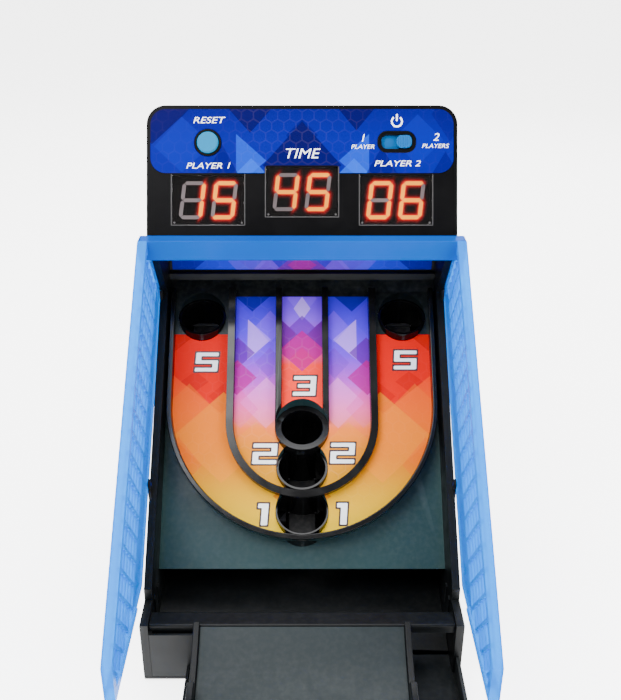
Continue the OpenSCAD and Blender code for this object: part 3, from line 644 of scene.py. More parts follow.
@dataclass(frozen=True)
class PrintedFilm(Finish):
    """Glossy film with a graded ground, diamonds and honeycomb lines.

    Attributes:
        surface: The surface that the film lies on.
        length: Length of the graded ground, in millimetres.
        ground: Stops of the ground, from top to foot.
        facets: The diamonds, from the lowest layer up.
        lines: Share of the honeycomb lines.
        pitch: Width of a honeycomb cell, in millimetres.
        roughness: Roughness of the film.
    """

    surface: Surface
    length: float
    ground: tuple[tuple[float, Colour], ...]
    facets: tuple[Facet, ...]
    lines: float = 0.1
    pitch: float = 11.0
    roughness: float = 0.4

    def fill(self, blank: Blank) -> None:
        """Fills in the material's shader.

        Args:
            blank: The new material.
        """
        bench, grain = blank.bench, blank.grain(1500.0)
        place = bench.effect(blank.effects.place, {"Top": self.surface.top, "Up": self.surface.up()})
        spot = {"Across": place.outputs["Across"], "Down": place.outputs["Down"]}
        shade = bench.ramp(bench.sum("DIVIDE", spot["Down"], self.length, clamp=True), self.ground)
        for facet in self.facets:
            values = {"At_Across": facet.across, "At_Down": facet.down, "Half_Across": facet.half_across}
            values |= {"Half_Down": facet.half_down, "Side": facet.side, "Fade": facet.fade}
            mask = bench.effect(blank.effects.facet, spot | values).outputs["Mask"]
            shade = bench.mix(bench.sum("MULTIPLY", mask, facet.share), shade, facet.colour)
        comb = bench.effect(blank.effects.comb, spot | {"Pitch": self.pitch, "Line": 0.07}).outputs["Mask"]
        patchy = bench.sum("MULTIPLY", comb, bench.sum("MULTIPLY", grain["Drift"], self.lines))
        blank.gloss(self.roughness, 0.08)
        blank.emboss(grain["Height"], 0.2, 0.00001)
        blank.feed({"Base Color": bench.mix(patchy, shade, paint(255, 250, 245)), "Specular IOR Level": 0.03})


@dataclass(frozen=True)
class Lens(Finish):
    """Thin smoked window.

    Attributes:
        colour: Tint of the window.
    """

    colour: Colour = paint(196, 188, 188)

    def fill(self, blank: Blank) -> None:
        """Fills in the material's shader.

        Args:
            blank: The new material.
        """
        share = blank.bench.sum("MULTIPLY", blank.grain(400.0)["Drift"], 0.3)
        blank.gloss(0.03, 0.03)
        blank.feed({"Base Color": blank.bench.mix(share, self.colour, toned(self.colour, 1.15))})
        blank.feed({"Transmission Weight": 1.0, "IOR": 1.3})


@dataclass(frozen=True)
class Lamp(Finish):
    """Moulded light bar.

    Attributes:
        colour: Colour of the bar's plastic.
        light: Colour of its light.
        strength: Strength of its light.
    """

    colour: Colour
    light: Colour
    strength: float

    def fill(self, blank: Blank) -> None:
        """Fills in the material's shader.

        Args:
            blank: The new material.
        """
        bench, drift = blank.bench, blank.grain(1200.0)["Drift"]
        blank.gloss(0.4, 0.1)
        blank.feed({"Base Color": bench.mix(drift, self.colour, toned(self.colour, 1.2, 0.02))})
        blank.feed({"Emission Color": bench.mix(drift, toned(self.light, 0.8), self.light)})
        blank.feed({"Emission Strength": self.strength})


@dataclass(frozen=True)
class Halo(Finish):
    """Light that a bar throws on the display behind it.

    Attributes:
        colour: Colour of the light.
        strength: Strength of the light.
    """

    colour: Colour = paint(255, 10, 0)
    strength: float = 2.4

    def fill(self, blank: Blank) -> None:
        """Fills in the material's shader.

        Args:
            blank: The new material.
        """
        bench, drift = blank.bench, blank.grain(300.0)["Drift"]
        glow = bench.node("ShaderNodeAttribute", attribute_name="glow").outputs["Fac"]
        kept = bench.sum("MULTIPLY", glow, bench.remap(drift, 0.0, 1.0, 0.85, 1.0), clamp=True)
        blank.feed({"Base Color": bench.mix(kept, paint(60, 0, 0), self.colour), "Alpha": kept})
        blank.feed({"Emission Color": bench.mix(kept, paint(120, 0, 0), self.colour)})
        blank.feed({"Emission Strength": self.strength, "Roughness": 0.6})


@dataclass(frozen=True)
class Metal(Finish):
    """Plated or bright rolled metal.

    Attributes:
        colour: Colour of the metal.
        roughness: Mean roughness.
    """

    colour: Colour = paint(190, 192, 196)
    roughness: float = 0.3

    def fill(self, blank: Blank) -> None:
        """Fills in the material's shader.

        Args:
            blank: The new material.
        """
        grain = blank.grain(3000.0)
        blank.gloss(self.roughness, 0.16)
        blank.emboss(grain["Height"], 0.3, 0.00001)
        shade = blank.bench.mix(grain["Drift"], self.colour, toned(self.colour, 0.6))
        blank.feed({"Base Color": shade, "Metallic": 1.0})


@dataclass(frozen=True)
class Laminate(Finish):
    """Circuit board laminate with a woven core under its lacquer.

    Attributes:
        colour: Colour of the lacquer.
        weave: Colour of the glass weave that shows through.
    """

    colour: Colour
    weave: Colour

    def fill(self, blank: Blank) -> None:
        """Fills in the material's shader.

        Args:
            blank: The new material.
        """
        bench, drift = blank.bench, blank.grain(900.0)["Drift"]
        weave = bench.node("ShaderNodeTexChecker", {"Vector": bench.spot(), "Scale": 1400.0}).outputs["Fac"]
        woven = bench.mix(bench.sum("MULTIPLY", weave, 0.25), self.colour, self.weave)
        blank.feed({"Base Color": bench.mix(bench.sum("MULTIPLY", drift, 0.2), woven, self.weave)})
        blank.gloss(0.35, 0.1)
        blank.emboss(weave, 0.2, 0.00003)


def outer_print() -> PrintedFilm:
    """Describes the film of the five and one point lanes, red at the top and yellow at the foot.

    Returns:
        The finish of the film.
    """
    sides = (-1, 1)
    facets = [Facet(s * 74, 72, 60, 48, paint(214, 6, 2), 0.95) for s in sides]
    facets += [Facet(s * 118, 46, 16, 14, paint(170, 2, 8), 0.7) for s in sides]
    facets += [Facet(s * 99, 90, 13, 10, paint(170, 2, 8), 0.4) for s in sides]
    facets += [Facet(s * 70, 104, 16, 14, paint(184, 4, 6), 0.45) for s in sides]
    facets += [Facet(s * 104, 132, 40, 40, paint(236, 108, 10), 0.35, fade=0.4) for s in sides]
    facets += [Facet(s * 72, 142, 46, 42, paint(236, 132, 6), 0.6, fade=0.3) for s in sides]
    facets += [Facet(s * 112, 168, 22, 26, paint(226, 84, 0), 0.5, fade=0.5) for s in sides]
    facets += [Facet(0, 196, 26, 20, paint(176, 70, 0), 0.6)]
    ground = (
        (0.0, paint(205, 4, 0)),
        (0.32, paint(236, 34, 4)),
        (0.52, paint(232, 84, 3)),
        (0.68, paint(208, 104, 0)),
        (0.82, paint(208, 150, 0)),
        (1.0, paint(214, 182, 0)),
    )
    return PrintedFilm(board_surface(), 236.0, ground, tuple(facets), lines=0.015)


def middle_print() -> PrintedFilm:
    """Describes the film of the two point lane, blue at the top, then purple, rose and amber.

    Returns:
        The finish of the film.
    """
    facets: list[Facet] = []
    for s in (-1, 1):
        facets += [
            Facet(s * 47, 6, 16, 15, paint(14, 2, 140), 0.9),
            Facet(s * 62, 28, 16, 18, paint(74, 24, 230), 0.5),
            Facet(s * 51, 49, 22, 20, paint(190, 140, 255), 0.75, side=-s),
            Facet(s * 30, 36, 14, 16, paint(128, 64, 255), 0.5),
            Facet(s * 60, 62, 16, 15, paint(92, 4, 150), 0.8),
            Facet(s * 30, 72, 14, 15, paint(110, 34, 196), 0.5),
            Facet(s * 60, 86, 18, 17, paint(160, 4, 124), 0.85),
            Facet(s * 33, 110, 24, 24, paint(240, 132, 226), 0.6, fade=0.7),
            Facet(s * 56, 116, 16, 18, paint(216, 50, 156), 0.45, fade=0.6),
            Facet(s * 42, 150, 24, 22, paint(230, 136, 8), 0.4, fade=0.6),
        ]
    ground = (
        (0.0, paint(44, 4, 210)),
        (0.2, paint(78, 20, 240)),
        (0.34, paint(112, 34, 236)),
        (0.48, paint(190, 64, 206)),
        (0.6, paint(240, 96, 150)),
        (0.7, paint(236, 110, 50)),
        (0.8, paint(206, 122, 0)),
        (1.0, paint(208, 150, 0)),
    )
    return PrintedFilm(board_surface(), 192.0, ground, tuple(facets), lines=0.03, pitch=13.0)


def inner_print() -> PrintedFilm:
    """Describes the film of the three point lane, lavender at the top, then magenta and salmon.

    Returns:
        The finish of the film.
    """
    facets = (
        Facet(0, 8, 14, 18, paint(136, 76, 255), 0.7),
        Facet(0, 18, 8, 12, paint(206, 166, 255), 0.7),
        Facet(-19, 44, 15, 14, paint(96, 4, 130), 0.85),
        Facet(19, 44, 15, 14, paint(96, 4, 130), 0.85),
        Facet(0, 37, 12, 12, paint(104, 20, 180), 0.8),
        Facet(0, 60, 22, 20, paint(166, 4, 126), 0.9),
        Facet(0, 68, 12, 11, paint(190, 2, 104), 0.5),
        Facet(0, 92, 16, 12, paint(255, 72, 44), 0.45),
    )
    ground = (
        (0.0, paint(96, 34, 244)),
        (0.22, paint(136, 66, 250)),
        (0.42, paint(182, 48, 170)),
        (0.56, paint(246, 54, 44)),
        (1.0, paint(238, 36, 6)),
    )
    return PrintedFilm(board_surface(), 132.0, ground, facets, lines=0.03, pitch=12.0)


def strip_print() -> PrintedFilm:
    """Describes the strip on the back wall, royal blue with violet in the middle.

    Returns:
        The finish of the film.
    """
    facets: list[Facet] = [Facet(0, 32, 70, 60, paint(60, 14, 190), 0.7)]
    for s in (-1, 1):
        facets += [
            Facet(s * 104, 44, 26, 30, paint(16, 2, 140), 0.8),
            Facet(s * 76, 48, 26, 22, paint(24, 50, 226), 0.7),
            Facet(s * 52, 40, 18, 20, paint(94, 66, 236), 0.6),
            Facet(s * 33, 52, 16, 18, paint(126, 60, 236), 0.6),
        ]
    facets += [Facet(0, 50, 26, 22, paint(112, 6, 160), 0.85), Facet(0, 44, 14, 10, paint(176, 4, 130), 0.6)]
    ground = ((0.0, paint(22, 4, 170)), (1.0, paint(14, 10, 200)))
    return PrintedFilm(strip_surface(), 50.0, ground, tuple(facets), lines=0.02, pitch=12.0)


def score_print() -> PrintedFilm:
    """Describes the scoreboard's film, royal blue with indigo and sky blue diamonds.

    Returns:
        The finish of the film.
    """
    sky, indigo, deep = paint(0, 58, 180), paint(10, 0, 58), paint(4, 0, 78)
    facets = (
        Facet(-128, 4, 30, 32, indigo, 0.85),
        Facet(128, 8, 16, 24, indigo, 0.4),
        Facet(-45, 4, 18, 20, indigo, 0.85),
        Facet(47, 4, 15, 18, indigo, 0.85),
        Facet(0, 52, 34, 38, indigo, 0.85),
        Facet(0, 26, 14, 14, paint(8, 1, 60), 0.5),
        Facet(-57, 48, 26, 23, sky, 0.7, side=1.0),
        Facet(58, 48, 26, 23, sky, 0.7, side=-1.0),
        Facet(-44, 60, 14, 14, paint(0, 76, 196), 0.6),
        Facet(45, 60, 14, 14, paint(0, 76, 196), 0.6),
        Facet(-69, 60, 14, 26, deep, 0.75),
        Facet(69, 60, 14, 24, deep, 0.75),
        Facet(-104, 34, 26, 24, paint(0, 20, 136), 0.5),
        Facet(100, 30, 22, 22, paint(0, 20, 136), 0.45),
        Facet(124, 60, 12, 20, deep, 0.7),
    )
    ground = ((0.0, paint(1, 1, 92)), (0.5, paint(0, 5, 112)), (1.0, paint(0, 6, 112)))
    return PrintedFilm(face_surface(), 60.0, ground, facets, lines=0.008, pitch=10.5)


def finishes() -> dict[str, Finish]:
    """Gives the finish of each of the machine's material slots.

    Returns:
        Finishes by slot.
    """
    return {
        "black_plastic": MouldedPlastic(paint(9, 11, 12), 0.4, rubbed=0.08, dust=0.01, shine=0.14),
        "gloss_black": MouldedPlastic(
            paint(6, 6, 7), 0.2, grain=0.000006, coat=0.14, rubbed=0.16, dust=0.0, shine=0.2
        ),
        # board_plastic's deep colour is painted shade at the top of the board, under the crossbar.
        "board_plastic": MouldedPlastic(
            paint(29, 52, 54), 0.34, grain=0.000012, coat=0.05, rubbed=0.1, shine=0.14, deep=paint(8, 11, 12)
        ),
        "lane_plastic": MouldedPlastic(paint(26, 34, 36), 0.42, grain_scale=1600.0, dust=0.02, shine=0.14),
        "score_black": MouldedPlastic(
            paint(5, 5, 6), 0.34, grain=0.000012, rubbed=0.16, dust=0.0, shine=0.06
        ),
        "display_black": MouldedPlastic(paint(4, 3, 4), 0.5, rubbed=0.0, dust=0.0, shine=0.05),
        "outer_print": outer_print(),
        "middle_print": middle_print(),
        "inner_print": inner_print(),
        "back_print": strip_print(),
        "score_print": score_print(),
        # The guards' glow of 0.1 is a painted glow.
        "guard_blue": TintedClear(paint(0, 126, 224), paint(0, 118, 222), 0.42, 0.22, glow=0.1),
        "guard_screw": MouldedPlastic(paint(2, 40, 150), 0.3, rubbed=0.1, coat=0.1),
        "flap_plastic": MouldedPlastic(paint(26, 26, 28), 0.4),
        "part_plastic": MouldedPlastic(paint(44, 44, 48), 0.45),
        "sensor_laminate": Laminate(paint(150, 130, 66), paint(196, 178, 110)),
        "board_green": Laminate(paint(24, 92, 52), paint(90, 140, 92)),
        "smoke_lens": Lens(),
        "lit_led": Lamp(paint(255, 160, 6), paint(255, 168, 2), 3.0),
        # The unlit bars get a faint painted glow: emission at 0.2 although they are off.
        "unlit_led": Lamp(paint(150, 148, 150), paint(150, 148, 150), 0.2),
        "button_blue": MouldedPlastic(paint(0, 104, 146), 0.34, rubbed=0.1, dust=0.0, shine=0.08),
        "knob_blue": MouldedPlastic(paint(0, 82, 140), 0.34, rubbed=0.1, dust=0.0, shine=0.08),
        "steel": Metal(),
        "speaker_grey": MouldedPlastic(paint(110, 112, 116), 0.5),
        "cell_jacket": MouldedPlastic(paint(184, 156, 60), 0.3, coat=0.4, grain=0.000005),
        "wire_red": MouldedPlastic(paint(184, 28, 24), 0.4),
        "foot_rubber": MouldedPlastic(paint(40, 40, 42), 0.8, grain=0.00005, rubbed=0.1, dust=0.15),
    }


class Palette:
    """Builds each slot's material once and puts it on pieces."""

    def __init__(self) -> None:
        """Readies the finishes and the shared effects."""
        self.effects = Effects()
        self.finishes = finishes()
        self.made: dict[str, bpy.types.Material] = {}

    def material(self, slot: str) -> bpy.types.Material:
        """Gives the material of a slot, building it the first time.

        Args:
            slot: The slot's name.

        Returns:
            The material.
        """
        if slot not in self.made:
            self.made[slot] = self.finishes[slot].build(slot + "_finish", self.effects)
        return self.made[slot]

    def dress(self, piece: bpy.types.Object, slot: str, finish: Finish | None = None) -> bpy.types.Object:
        """Puts a slot's finish on a piece.

        Args:
            piece: The piece to dress.
            slot: The record's name for the slot.
            finish: A finish of the piece's own, in place of the slot's.

        Returns:
            The same piece.
        """
        own = finish is not None
        look = finish.build(piece.name + "_finish", self.effects) if own else self.material(slot)
        piece.data.materials.clear()
        piece.data.materials.append(look)
        return piece


# ---------------------------------------------------------------- meshes

# Edges that turn by more degrees than the first are rounded; by fewer than the second, flattened.
SHARP_TURN = 32.0
FLAT_TURN = 0.5


class Edge(Enum):
    """How far an edge is rounded, in millimetres."""

    CRISP = 0.15
    EASED = 0.35
    ROUND = 0.6
    FULL = 1.0


def node_slot(node: str) -> str:
    """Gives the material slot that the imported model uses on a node."""
    return frame["nodes"][node].data.materials[0].name


def add_object(name: str, build: bmesh.types.BMesh, body: str) -> bpy.types.Object:
    """Makes an object of a finished mesh and lets it ride on a body.

    Args:
        name: The piece's name.
        build: The mesh, in the machine's own places; it is freed.
        body: The body that the piece rides on.

    Returns:
        The new object.
    """
    mesh = bpy.data.meshes.new(name)
    build.to_mesh(mesh)
    build.free()
    piece = bpy.data.objects.new(name, mesh)
    bpy.context.scene.collection.objects.link(piece)
    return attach(piece, body)


def eased(node: str, edge: Edge) -> bpy.types.Object:
    """Makes the moulded piece of a node, with its edges rounded as a mould leaves them.

    Args:
        node: The node that the piece stands for.
        edge: How far its edges are rounded.

    Returns:
        The piece, which rides on the node's body and replaces it.
    """
    source = frame["nodes"][node]
    build = bmesh.new()
    build.from_mesh(source.data)
    bmesh.ops.remove_doubles(build, verts=build.verts, dist=MERGE)
    parts = {"verts": build.verts, "edges": build.edges}
    bmesh.ops.dissolve_limit(build, angle_limit=math.radians(FLAT_TURN), delimit={"NORMAL"}, **parts)
    piece = add_object(node + "_moulding", build, source["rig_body"])
    piece.data.shade_smooth()
    piece.data.set_sharp_from_angle(angle=math.radians(SHARP_TURN))
    rounding = piece.modifiers.new("rounding", "BEVEL")
    rounding.width = edge.value * MM
    rounding.segments = 2 if edge in (Edge.CRISP, Edge.EASED) else 3
    rounding.limit_method = "ANGLE"
    rounding.angle_limit = math.radians(SHARP_TURN)
    shading = piece.modifiers.new("shading", "WEIGHTED_NORMAL")
    shading.weight = 100
    shading.keep_sharp = True
    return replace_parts(piece, node)


def round_corners(outline: Sequence[Point], radius: float, steps: int = 4) -> list[Point]:
    """Rounds every corner of an outline.

    Args:
        outline: The corners, in order.
        radius: How far from a corner its rounding starts.
        steps: Points in each rounding.

    Returns:
        The rounded outline.
    """
    rounded: list[Point] = []
    count = len(outline)
    for i, corner in enumerate(outline):
        here, before, after = Vector(corner), Vector(outline[i - 1]), Vector(outline[(i + 1) % count])
        reach = min(radius, (before - here).length / 2, (after - here).length / 2)
        start = here + (before - here).normalized() * reach
        end = here + (after - here).normalized() * reach
        for k in range(steps + 1):
            part = k / steps
            bend = start * (1 - part) ** 2 + here * (2 * part * (1 - part)) + end * part**2
            rounded.append((bend.x, bend.y))
    return rounded


def grow_outline(outline: Sequence[Point], by: float) -> list[Point]:
    """Moves every side of an anticlockwise outline out by the same distance.

    Args:
        outline: The corners, in order.
        by: How far the sides move.

    Returns:
        The grown outline.
    """
    grown: list[Point] = []
    count = len(outline)
    for i, corner in enumerate(outline):
        here, before, after = Vector(corner), Vector(outline[i - 1]), Vector(outline[(i + 1) % count])
        into, away = (here - before).normalized(), (after - here).normalized()
        first, second = Vector((into.y, -into.x)), Vector((away.y, -away.x))
        middle = (first + second) / max(0.2, 1 + first.dot(second))
        grown.append((here.x + middle.x * by, here.y + middle.y * by))
    return grown


def signed_area(outline: Sequence[Point]) -> float:
    """Gives the outline's area, above zero when it runs anticlockwise."""
    pairs = zip(outline, list(outline[1:]) + [outline[0]])
    return sum(a[0] * b[1] - b[0] * a[1] for a, b in pairs) / 2


def add_plate(
    build: bmesh.types.BMesh, outline: Sequence[Point], place: Matrix, low: float, high: float
) -> None:
    """Adds a flat plate of any outline to a mesh.

    Args:
        build: The mesh to add to.
        outline: The plate's corners, in millimetres on its surface.
        place: The surface's matrix.
        low: Height of its underside above the surface, in millimetres.
        high: Height of its top.
    """
    ring = list(outline) if signed_area(outline) > 0 else list(reversed(outline))
    top = [build.verts.new(place @ (Vector((x, y, high)) * MM)) for x, y in ring]
    foot = [build.verts.new(place @ (Vector((x, y, low)) * MM)) for x, y in ring]
    faces = [build.faces.new(top), build.faces.new(list(reversed(foot)))]
    for face in faces:
        face.normal_update()
    bmesh.ops.triangulate(build, faces=faces)
    count = len(ring)
    for i in range(count):
        k = (i + 1) % count
        build.faces.new((foot[i], foot[k], top[k], top[i]))


def circle_outline(across: float, up: float, radius: float, sides: int = 32) -> list[Point]:
    """Gives a circle's outline in millimetres on a surface."""
    turn = math.tau / sides
    return [(across + radius * math.cos(i * turn), up + radius * math.sin(i * turn)) for i in range(sides)]


@dataclass
class Assembly:
    """A group of the machine's pieces that are built and dressed together.

    Attributes:
        palette: The palette that dresses the pieces.
    """

    name: ClassVar[str] = "assembly"
    palette: Palette

    def shape(self, edge: Edge, *nodes: str) -> None:
        """Rounds and dresses nodes, each as a piece of its own.

        Args:
            edge: How far the edges are rounded.
            *nodes: The nodes.
        """
        for node in nodes:
            piece = eased(node, edge)
            self.palette.dress(piece, node_slot(node))
            self.report(piece)

    def keep(self, *nodes: str) -> None:
        """Keeps the shape of nodes that need no rounding, and dresses them.

        Args:
            *nodes: The nodes.
        """
        for node in nodes:
            piece = frame["nodes"][node]
            self.palette.dress(piece, node_slot(node))
            self.report(piece)

    def report(self, piece: bpy.types.Object) -> None:
        """Logs a finished piece."""
        log.info("%s: %s, %d faces", self.name, piece.name, len(piece.data.polygons))


# ---------------------------------------------------------------- sub-assemblies


@dataclass
class Housing(Assembly):
    """Tray, walls, rear cover, back wall and feet."""

    name: ClassVar[str] = "housing"

    def build(self) -> None:
        """Builds the housing."""
        self.shape(Edge.ROUND, "base_tray", "left_side_wall", "right_side_wall", "rear_cover")
        self.shape(Edge.EASED, "back_wall", "rubber_feet")
        self.shape(Edge.CRISP, "case_screws")
        self.keep("back_graphic")


@dataclass(frozen=True)
class Numeral:
    """A number printed on the board.

    Attributes:
        name: What the piece is called.
        figure: Which figure it shows.
        across: Place of its middle across the board, in millimetres.
        down: Place of its middle down from the board's top line.
        width: Width of the white figure.
        height: Height of the white figure.
    """

    name: str
    figure: int
    across: float
    down: float
    width: float
    height: float


FIGURES: dict[int, tuple[Point, ...]] = {
    1: ((1.9, 7), (4.2, 7), (4.2, 0), (2.8, 0), (2.8, 5.6), (1.9, 5.6)),
    2: ((0, 7), (6, 7), (6, 2.9), (1.4, 2.9), (1.4, 1.3), (6, 1.3), (6, 0), (0, 0), (0, 4.1),
        (4.6, 4.1), (4.6, 5.7), (0, 5.7)),
    3: ((0, 7), (6, 7), (6, 0), (0, 0), (0, 1.3), (4.6, 1.3), (4.6, 2.9), (1.2, 2.9), (1.2, 4.1),
        (4.6, 4.1), (4.6, 5.7), (0, 5.7)),
    5: ((0, 7), (6, 7), (6, 5.7), (1.4, 5.7), (1.4, 4.1), (6, 4.1), (6, 0), (0, 0), (0, 1.3),
        (4.6, 1.3), (4.6, 2.9), (0, 2.9)),
}


@dataclass
class TargetBoard(Assembly):
    """Board, rails, films, cups and printed numbers.

    Attributes:
        rim: Width of a number's dark rim, in millimetres, like every size here.
        slant: How far a number leans to the right for each millimetre up.
        corner: How far from a corner its rounding starts.
        print_low: Height of the print's underside above the board.
        print_high: Height of its top.
        face_depth: How far the white figure stands above its rim.
        grid: Width and height of the grid that the figures are drawn on.
        dark: Finish of the rim.
        white: Finish of the figure.
        numerals: The numbers.
    """

    name: ClassVar[str] = "target board"
    rim: float = 1.5
    slant: float = 0.07
    corner: float = 1.1
    print_low: float = 0.3
    print_high: float = 0.36
    face_depth: float = 0.05
    grid: tuple[float, float] = (6.0, 7.0)
    dark: Finish = MouldedPlastic(paint(44, 26, 30), 0.4, rubbed=0.0)
    white: Finish = MouldedPlastic(paint(244, 246, 246), 0.4, rubbed=0.0, dust=0.02)
    numerals: tuple[Numeral, ...] = (
        Numeral("five_left_number", 5, -88.5, 71.0, 20.8, 18.2),
        Numeral("five_right_number", 5, 96.0, 69.0, 20.8, 18.2),
        Numeral("three_number", 3, 2.4, 94.0, 20.6, 18.6),
        Numeral("two_left_number", 2, -33.5, 157.6, 21.6, 18.6),
        Numeral("two_right_number", 2, 36.6, 157.0, 21.6, 18.6),
        Numeral("one_left_number", 1, -35.0, 212.0, 24.0, 19.0),
        Numeral("one_right_number", 1, 35.0, 211.4, 24.0, 19.0),
    )

    def build(self) -> None:
        """Builds the board."""
        self.shape(Edge.EASED, "target_board")
        self.shape(Edge.FULL, "outer_rail", "middle_rail", "inner_rails")
        self.keep("outer_graphic", "middle_graphic", "inner_graphic")
        self.shape(Edge.EASED, "cup_five_left", "cup_five_right", "cup_three", "cup_two", "cup_one")
        for numeral in self.numerals:
            self.print_number(numeral)

    def print_number(self, numeral: Numeral) -> None:
        """Prints one number: a dark rim and a white figure on it.

        Args:
            numeral: The number to print.
        """
        wide, tall = numeral.width / self.grid[0], numeral.height / self.grid[1]
        middle_x, middle_y = self.grid[0] / 2, self.grid[1] / 2
        corners = [
            (numeral.across + (x - middle_x) * wide + (y - middle_y) * tall * self.slant,
             -numeral.down + (y - middle_y) * tall)
            for x, y in FIGURES[numeral.figure]
        ]
        if signed_area(corners) < 0:
            corners.reverse()
        place = board_surface().matrix()
        for suffix, grow, low, high, look in (
            ("_rim", self.rim, self.print_low, self.print_high, self.dark),
            ("_face", 0.0, self.print_high, self.print_high + self.face_depth, self.white),
        ):
            build = bmesh.new()
            outline = round_corners(grow_outline(corners, grow), self.corner)
            add_plate(build, outline, place, low, high)
            piece = add_object(numeral.name + suffix, build, "machine")
            self.palette.dress(piece, "outer_print", look)
            self.report(piece)


@dataclass
class Mechanism(Assembly):
    """Scoring flaps with their pins, switches and sensor boards."""

    name: ClassVar[str] = "mechanism"

    def build(self) -> None:
        """Builds the mechanism."""
        self.shape(Edge.CRISP, "flap_five_left", "flap_five_right", "flap_three", "flap_two", "flap_one")
        self.shape(Edge.CRISP, "flap_pins", "score_switches", "sensor_boards")


@dataclass
class Lane(Assembly):
    """Lane, crest, ball return and gutter."""

    name: ClassVar[str] = "lane"

    def build(self) -> None:
        """Builds the lane."""
        self.shape(Edge.ROUND, "jump_ramp", "left_lane_rail", "right_lane_rail", "ball_gutter")
        self.shape(Edge.EASED, "lane_bed", "return_floor")


@dataclass
class Guards(Assembly):
    """Slotted side guards, crossbar and their screws.

    Attributes:
        bar: Finish of the crossbar.
    """

    name: ClassVar[str] = "guards"
    bar: Finish = TintedClear(paint(0, 84, 180), paint(0, 66, 160), 0.4, 0.22)

    def build(self) -> None:
        """Builds the guards."""
        self.shape(Edge.EASED, "left_guard", "right_guard")
        self.shape(Edge.CRISP, "guard_screws")
        bar = eased("guard_crossbar", Edge.FULL)
        self.report(self.palette.dress(bar, node_slot("guard_crossbar"), self.bar))


@dataclass(frozen=True)
class Label:
    """A plain word or number on the scoreboard.

    Attributes:
        name: What the piece is called.
        words: What it says.
        across: Place of its middle across the face, in millimetres.
        down: Place of its middle down from the face's top line.
        width: Its width.
        height: Height of its capitals.
    """

    name: str
    words: str
    across: float
    down: float
    width: float
    height: float


